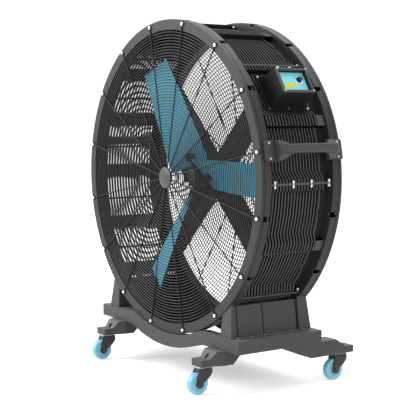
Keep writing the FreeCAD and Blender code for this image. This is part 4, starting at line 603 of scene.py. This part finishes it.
def panel_label():
    """The label: a flat sheet over its width and height, with its edge turned down to the panel."""
    along = LABEL_LEFT + LABEL_WIDTH * LABEL_SHARES
    up = LABEL_BOTTOM + LABEL_HEIGHT * LABEL_SHARES
    along, up = np.meshgrid(along, up, indexing="ij")
    points = on_panel(along, up, np.minimum.outer(LABEL_LIFTS, LABEL_LIFTS))
    quads = grid_quads(len(LABEL_SHARES), len(LABEL_SHARES), False, False)
    piece = add_piece("panel_label", points, quads, LABEL, smooth=False)
    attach(piece, "frame")


def dial_arc():
    """The dial's outline: a thin band on the panel, its radii against the angle round the knob."""
    angles = np.linspace(DIAL_START + DIAL_MARGIN, DIAL_END - DIAL_MARGIN, DIAL_STEPS)
    angles = np.radians(angles)[:, None]
    along = KNOB_ALONG + DIAL_RADII * np.cos(angles)
    up = KNOB_UP + DIAL_RADII * np.sin(angles)
    points = on_panel(along, up, PRINT_LIFTS + 0 * angles)
    quads = grid_quads(DIAL_STEPS, len(DIAL_RADII), False, False)
    piece = add_piece("dial_arc", points, quads, PRINT, smooth=False)
    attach(piece, "frame")


def dial_ticks():
    """Ticks over the knob's turn: short flat bars round the dial, with edges turned down to the panel."""
    angles = np.radians(np.linspace(DIAL_START, DIAL_END, TICKS))[:, None, None]
    radius = np.array([TICK_INNER_R, TICK_INNER_R, TICK_OUTER_R, TICK_OUTER_R])[:, None]
    side = np.array([-TICK_HALF, -TICK_HALF, TICK_HALF, TICK_HALF])
    along = KNOB_ALONG + radius * np.cos(angles) - side * np.sin(angles)
    up = KNOB_UP + radius * np.sin(angles) + side * np.cos(angles)
    points = on_panel(along, up, np.minimum.outer(PRINT_LIFTS, PRINT_LIFTS) + 0 * along)
    tick = grid_quads(len(radius), len(side), False, False)
    quads = repeat_quads(tick, TICKS, len(radius) * len(side))
    piece = add_piece("dial_ticks", points, quads, PRINT, smooth=False)
    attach(piece, "frame")


def knob_pointer():
    """A painted bar in the knob's notch: a low ridge across its width, carried from the middle to the rim."""
    reach = np.array([POINTER_START, POINTER_START, POINTER_START + POINTER_ROUND,
                      POINTER_END - POINTER_ROUND, POINTER_END, POINTER_END])
    across = np.array([-POINTER_HALF, -POINTER_HALF, 0, POINTER_HALF, POINTER_HALF])
    up, along = np.meshgrid(KNOB_UP + reach, KNOB_ALONG + across, indexing="ij")
    drop = POINTER_DEPTH * np.maximum.outer(POINTER_END_SHARES, POINTER_SIDE_SHARES)
    points = on_panel(along, up, KNOB_TOP - drop)
    quads = grid_quads(len(reach), len(across), False, False)[:, ::-1]
    piece = add_piece("knob_pointer", points, quads, POINTER, smooth=False)
    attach(piece, "knob")


# Stage

def floor():
    """A flat square grid under the fan."""
    side = np.linspace(-FLOOR_HALF, FLOOR_HALF, FLOOR_POINTS)
    x, y = np.meshgrid(side, side, indexing="ij")
    material = finish("floor_pale", (0.86, 0.86, 0.86), (0.84, 0.84, 0.84), rough=(0.8, 0.9), bump=0.0,
                      mottle_scale=1)
    shader = material.node_tree.nodes["Principled BSDF"]
    shader.inputs["Emission Color"].default_value = (1, 1, 1, 1)
    shader.inputs["Emission Strength"].default_value = FLOOR_GLOW
    quads = grid_quads(FLOOR_POINTS, FLOOR_POINTS, False, False)
    piece = add_piece("floor", np.stack([x, y, 0 * x], -1), quads, material)


def add_aimed(name, data, place, target):
    """A light or camera at a place, turned to its target."""
    aimed = bpy.data.objects.new(name, data)
    aimed.location = place
    aimed.rotation_euler = (Vector(target) - Vector(place)).to_track_quat("-Z", "Y").to_euler()
    bpy.context.scene.collection.objects.link(aimed)
    return aimed


def studio():
    """A white surround and wide, soft lights."""
    world = bpy.data.worlds.new("studio")
    world.use_nodes = True
    bpy.context.scene.world = world
    back = world.node_tree.nodes["Background"]
    back.inputs["Color"].default_value = (1, 1, 1, 1)
    back.inputs["Strength"].default_value = WORLD_STRENGTH
    for name, (place, target, size, power) in LIGHTS.items():
        light = bpy.data.lights.new(name, "AREA")
        light.shape = "DISK"
        light.size = size
        light.energy = power
        add_aimed(name, light, place, target)
    bpy.context.scene.view_settings.view_transform = "Standard"


def camera():
    """The camera at the photograph's viewing angle."""
    data = bpy.data.cameras.new("photo_view")
    data.lens = CAMERA_LENS
    data.sensor_width = CAMERA_SENSOR
    bpy.context.scene.camera = add_aimed("photo_view", data, CAMERA_PLACE, CAMERA_TARGET)


dress_nodes()
guard_wires("front_guard_wires", "front_guard_rings", GUARD_WIRE_R, FRONT_WIRES)
guard_wires("rear_guard_wires", "rear_guard_rings", DRUM_DEPTH - GUARD_WIRE_R, REAR_WIRES)
seam_bolts()
for side in CASTORS:
    castor_wheel(side)
panel_label()
dial_arc()
dial_ticks()
knob_pointer()
floor()
studio()
camera()
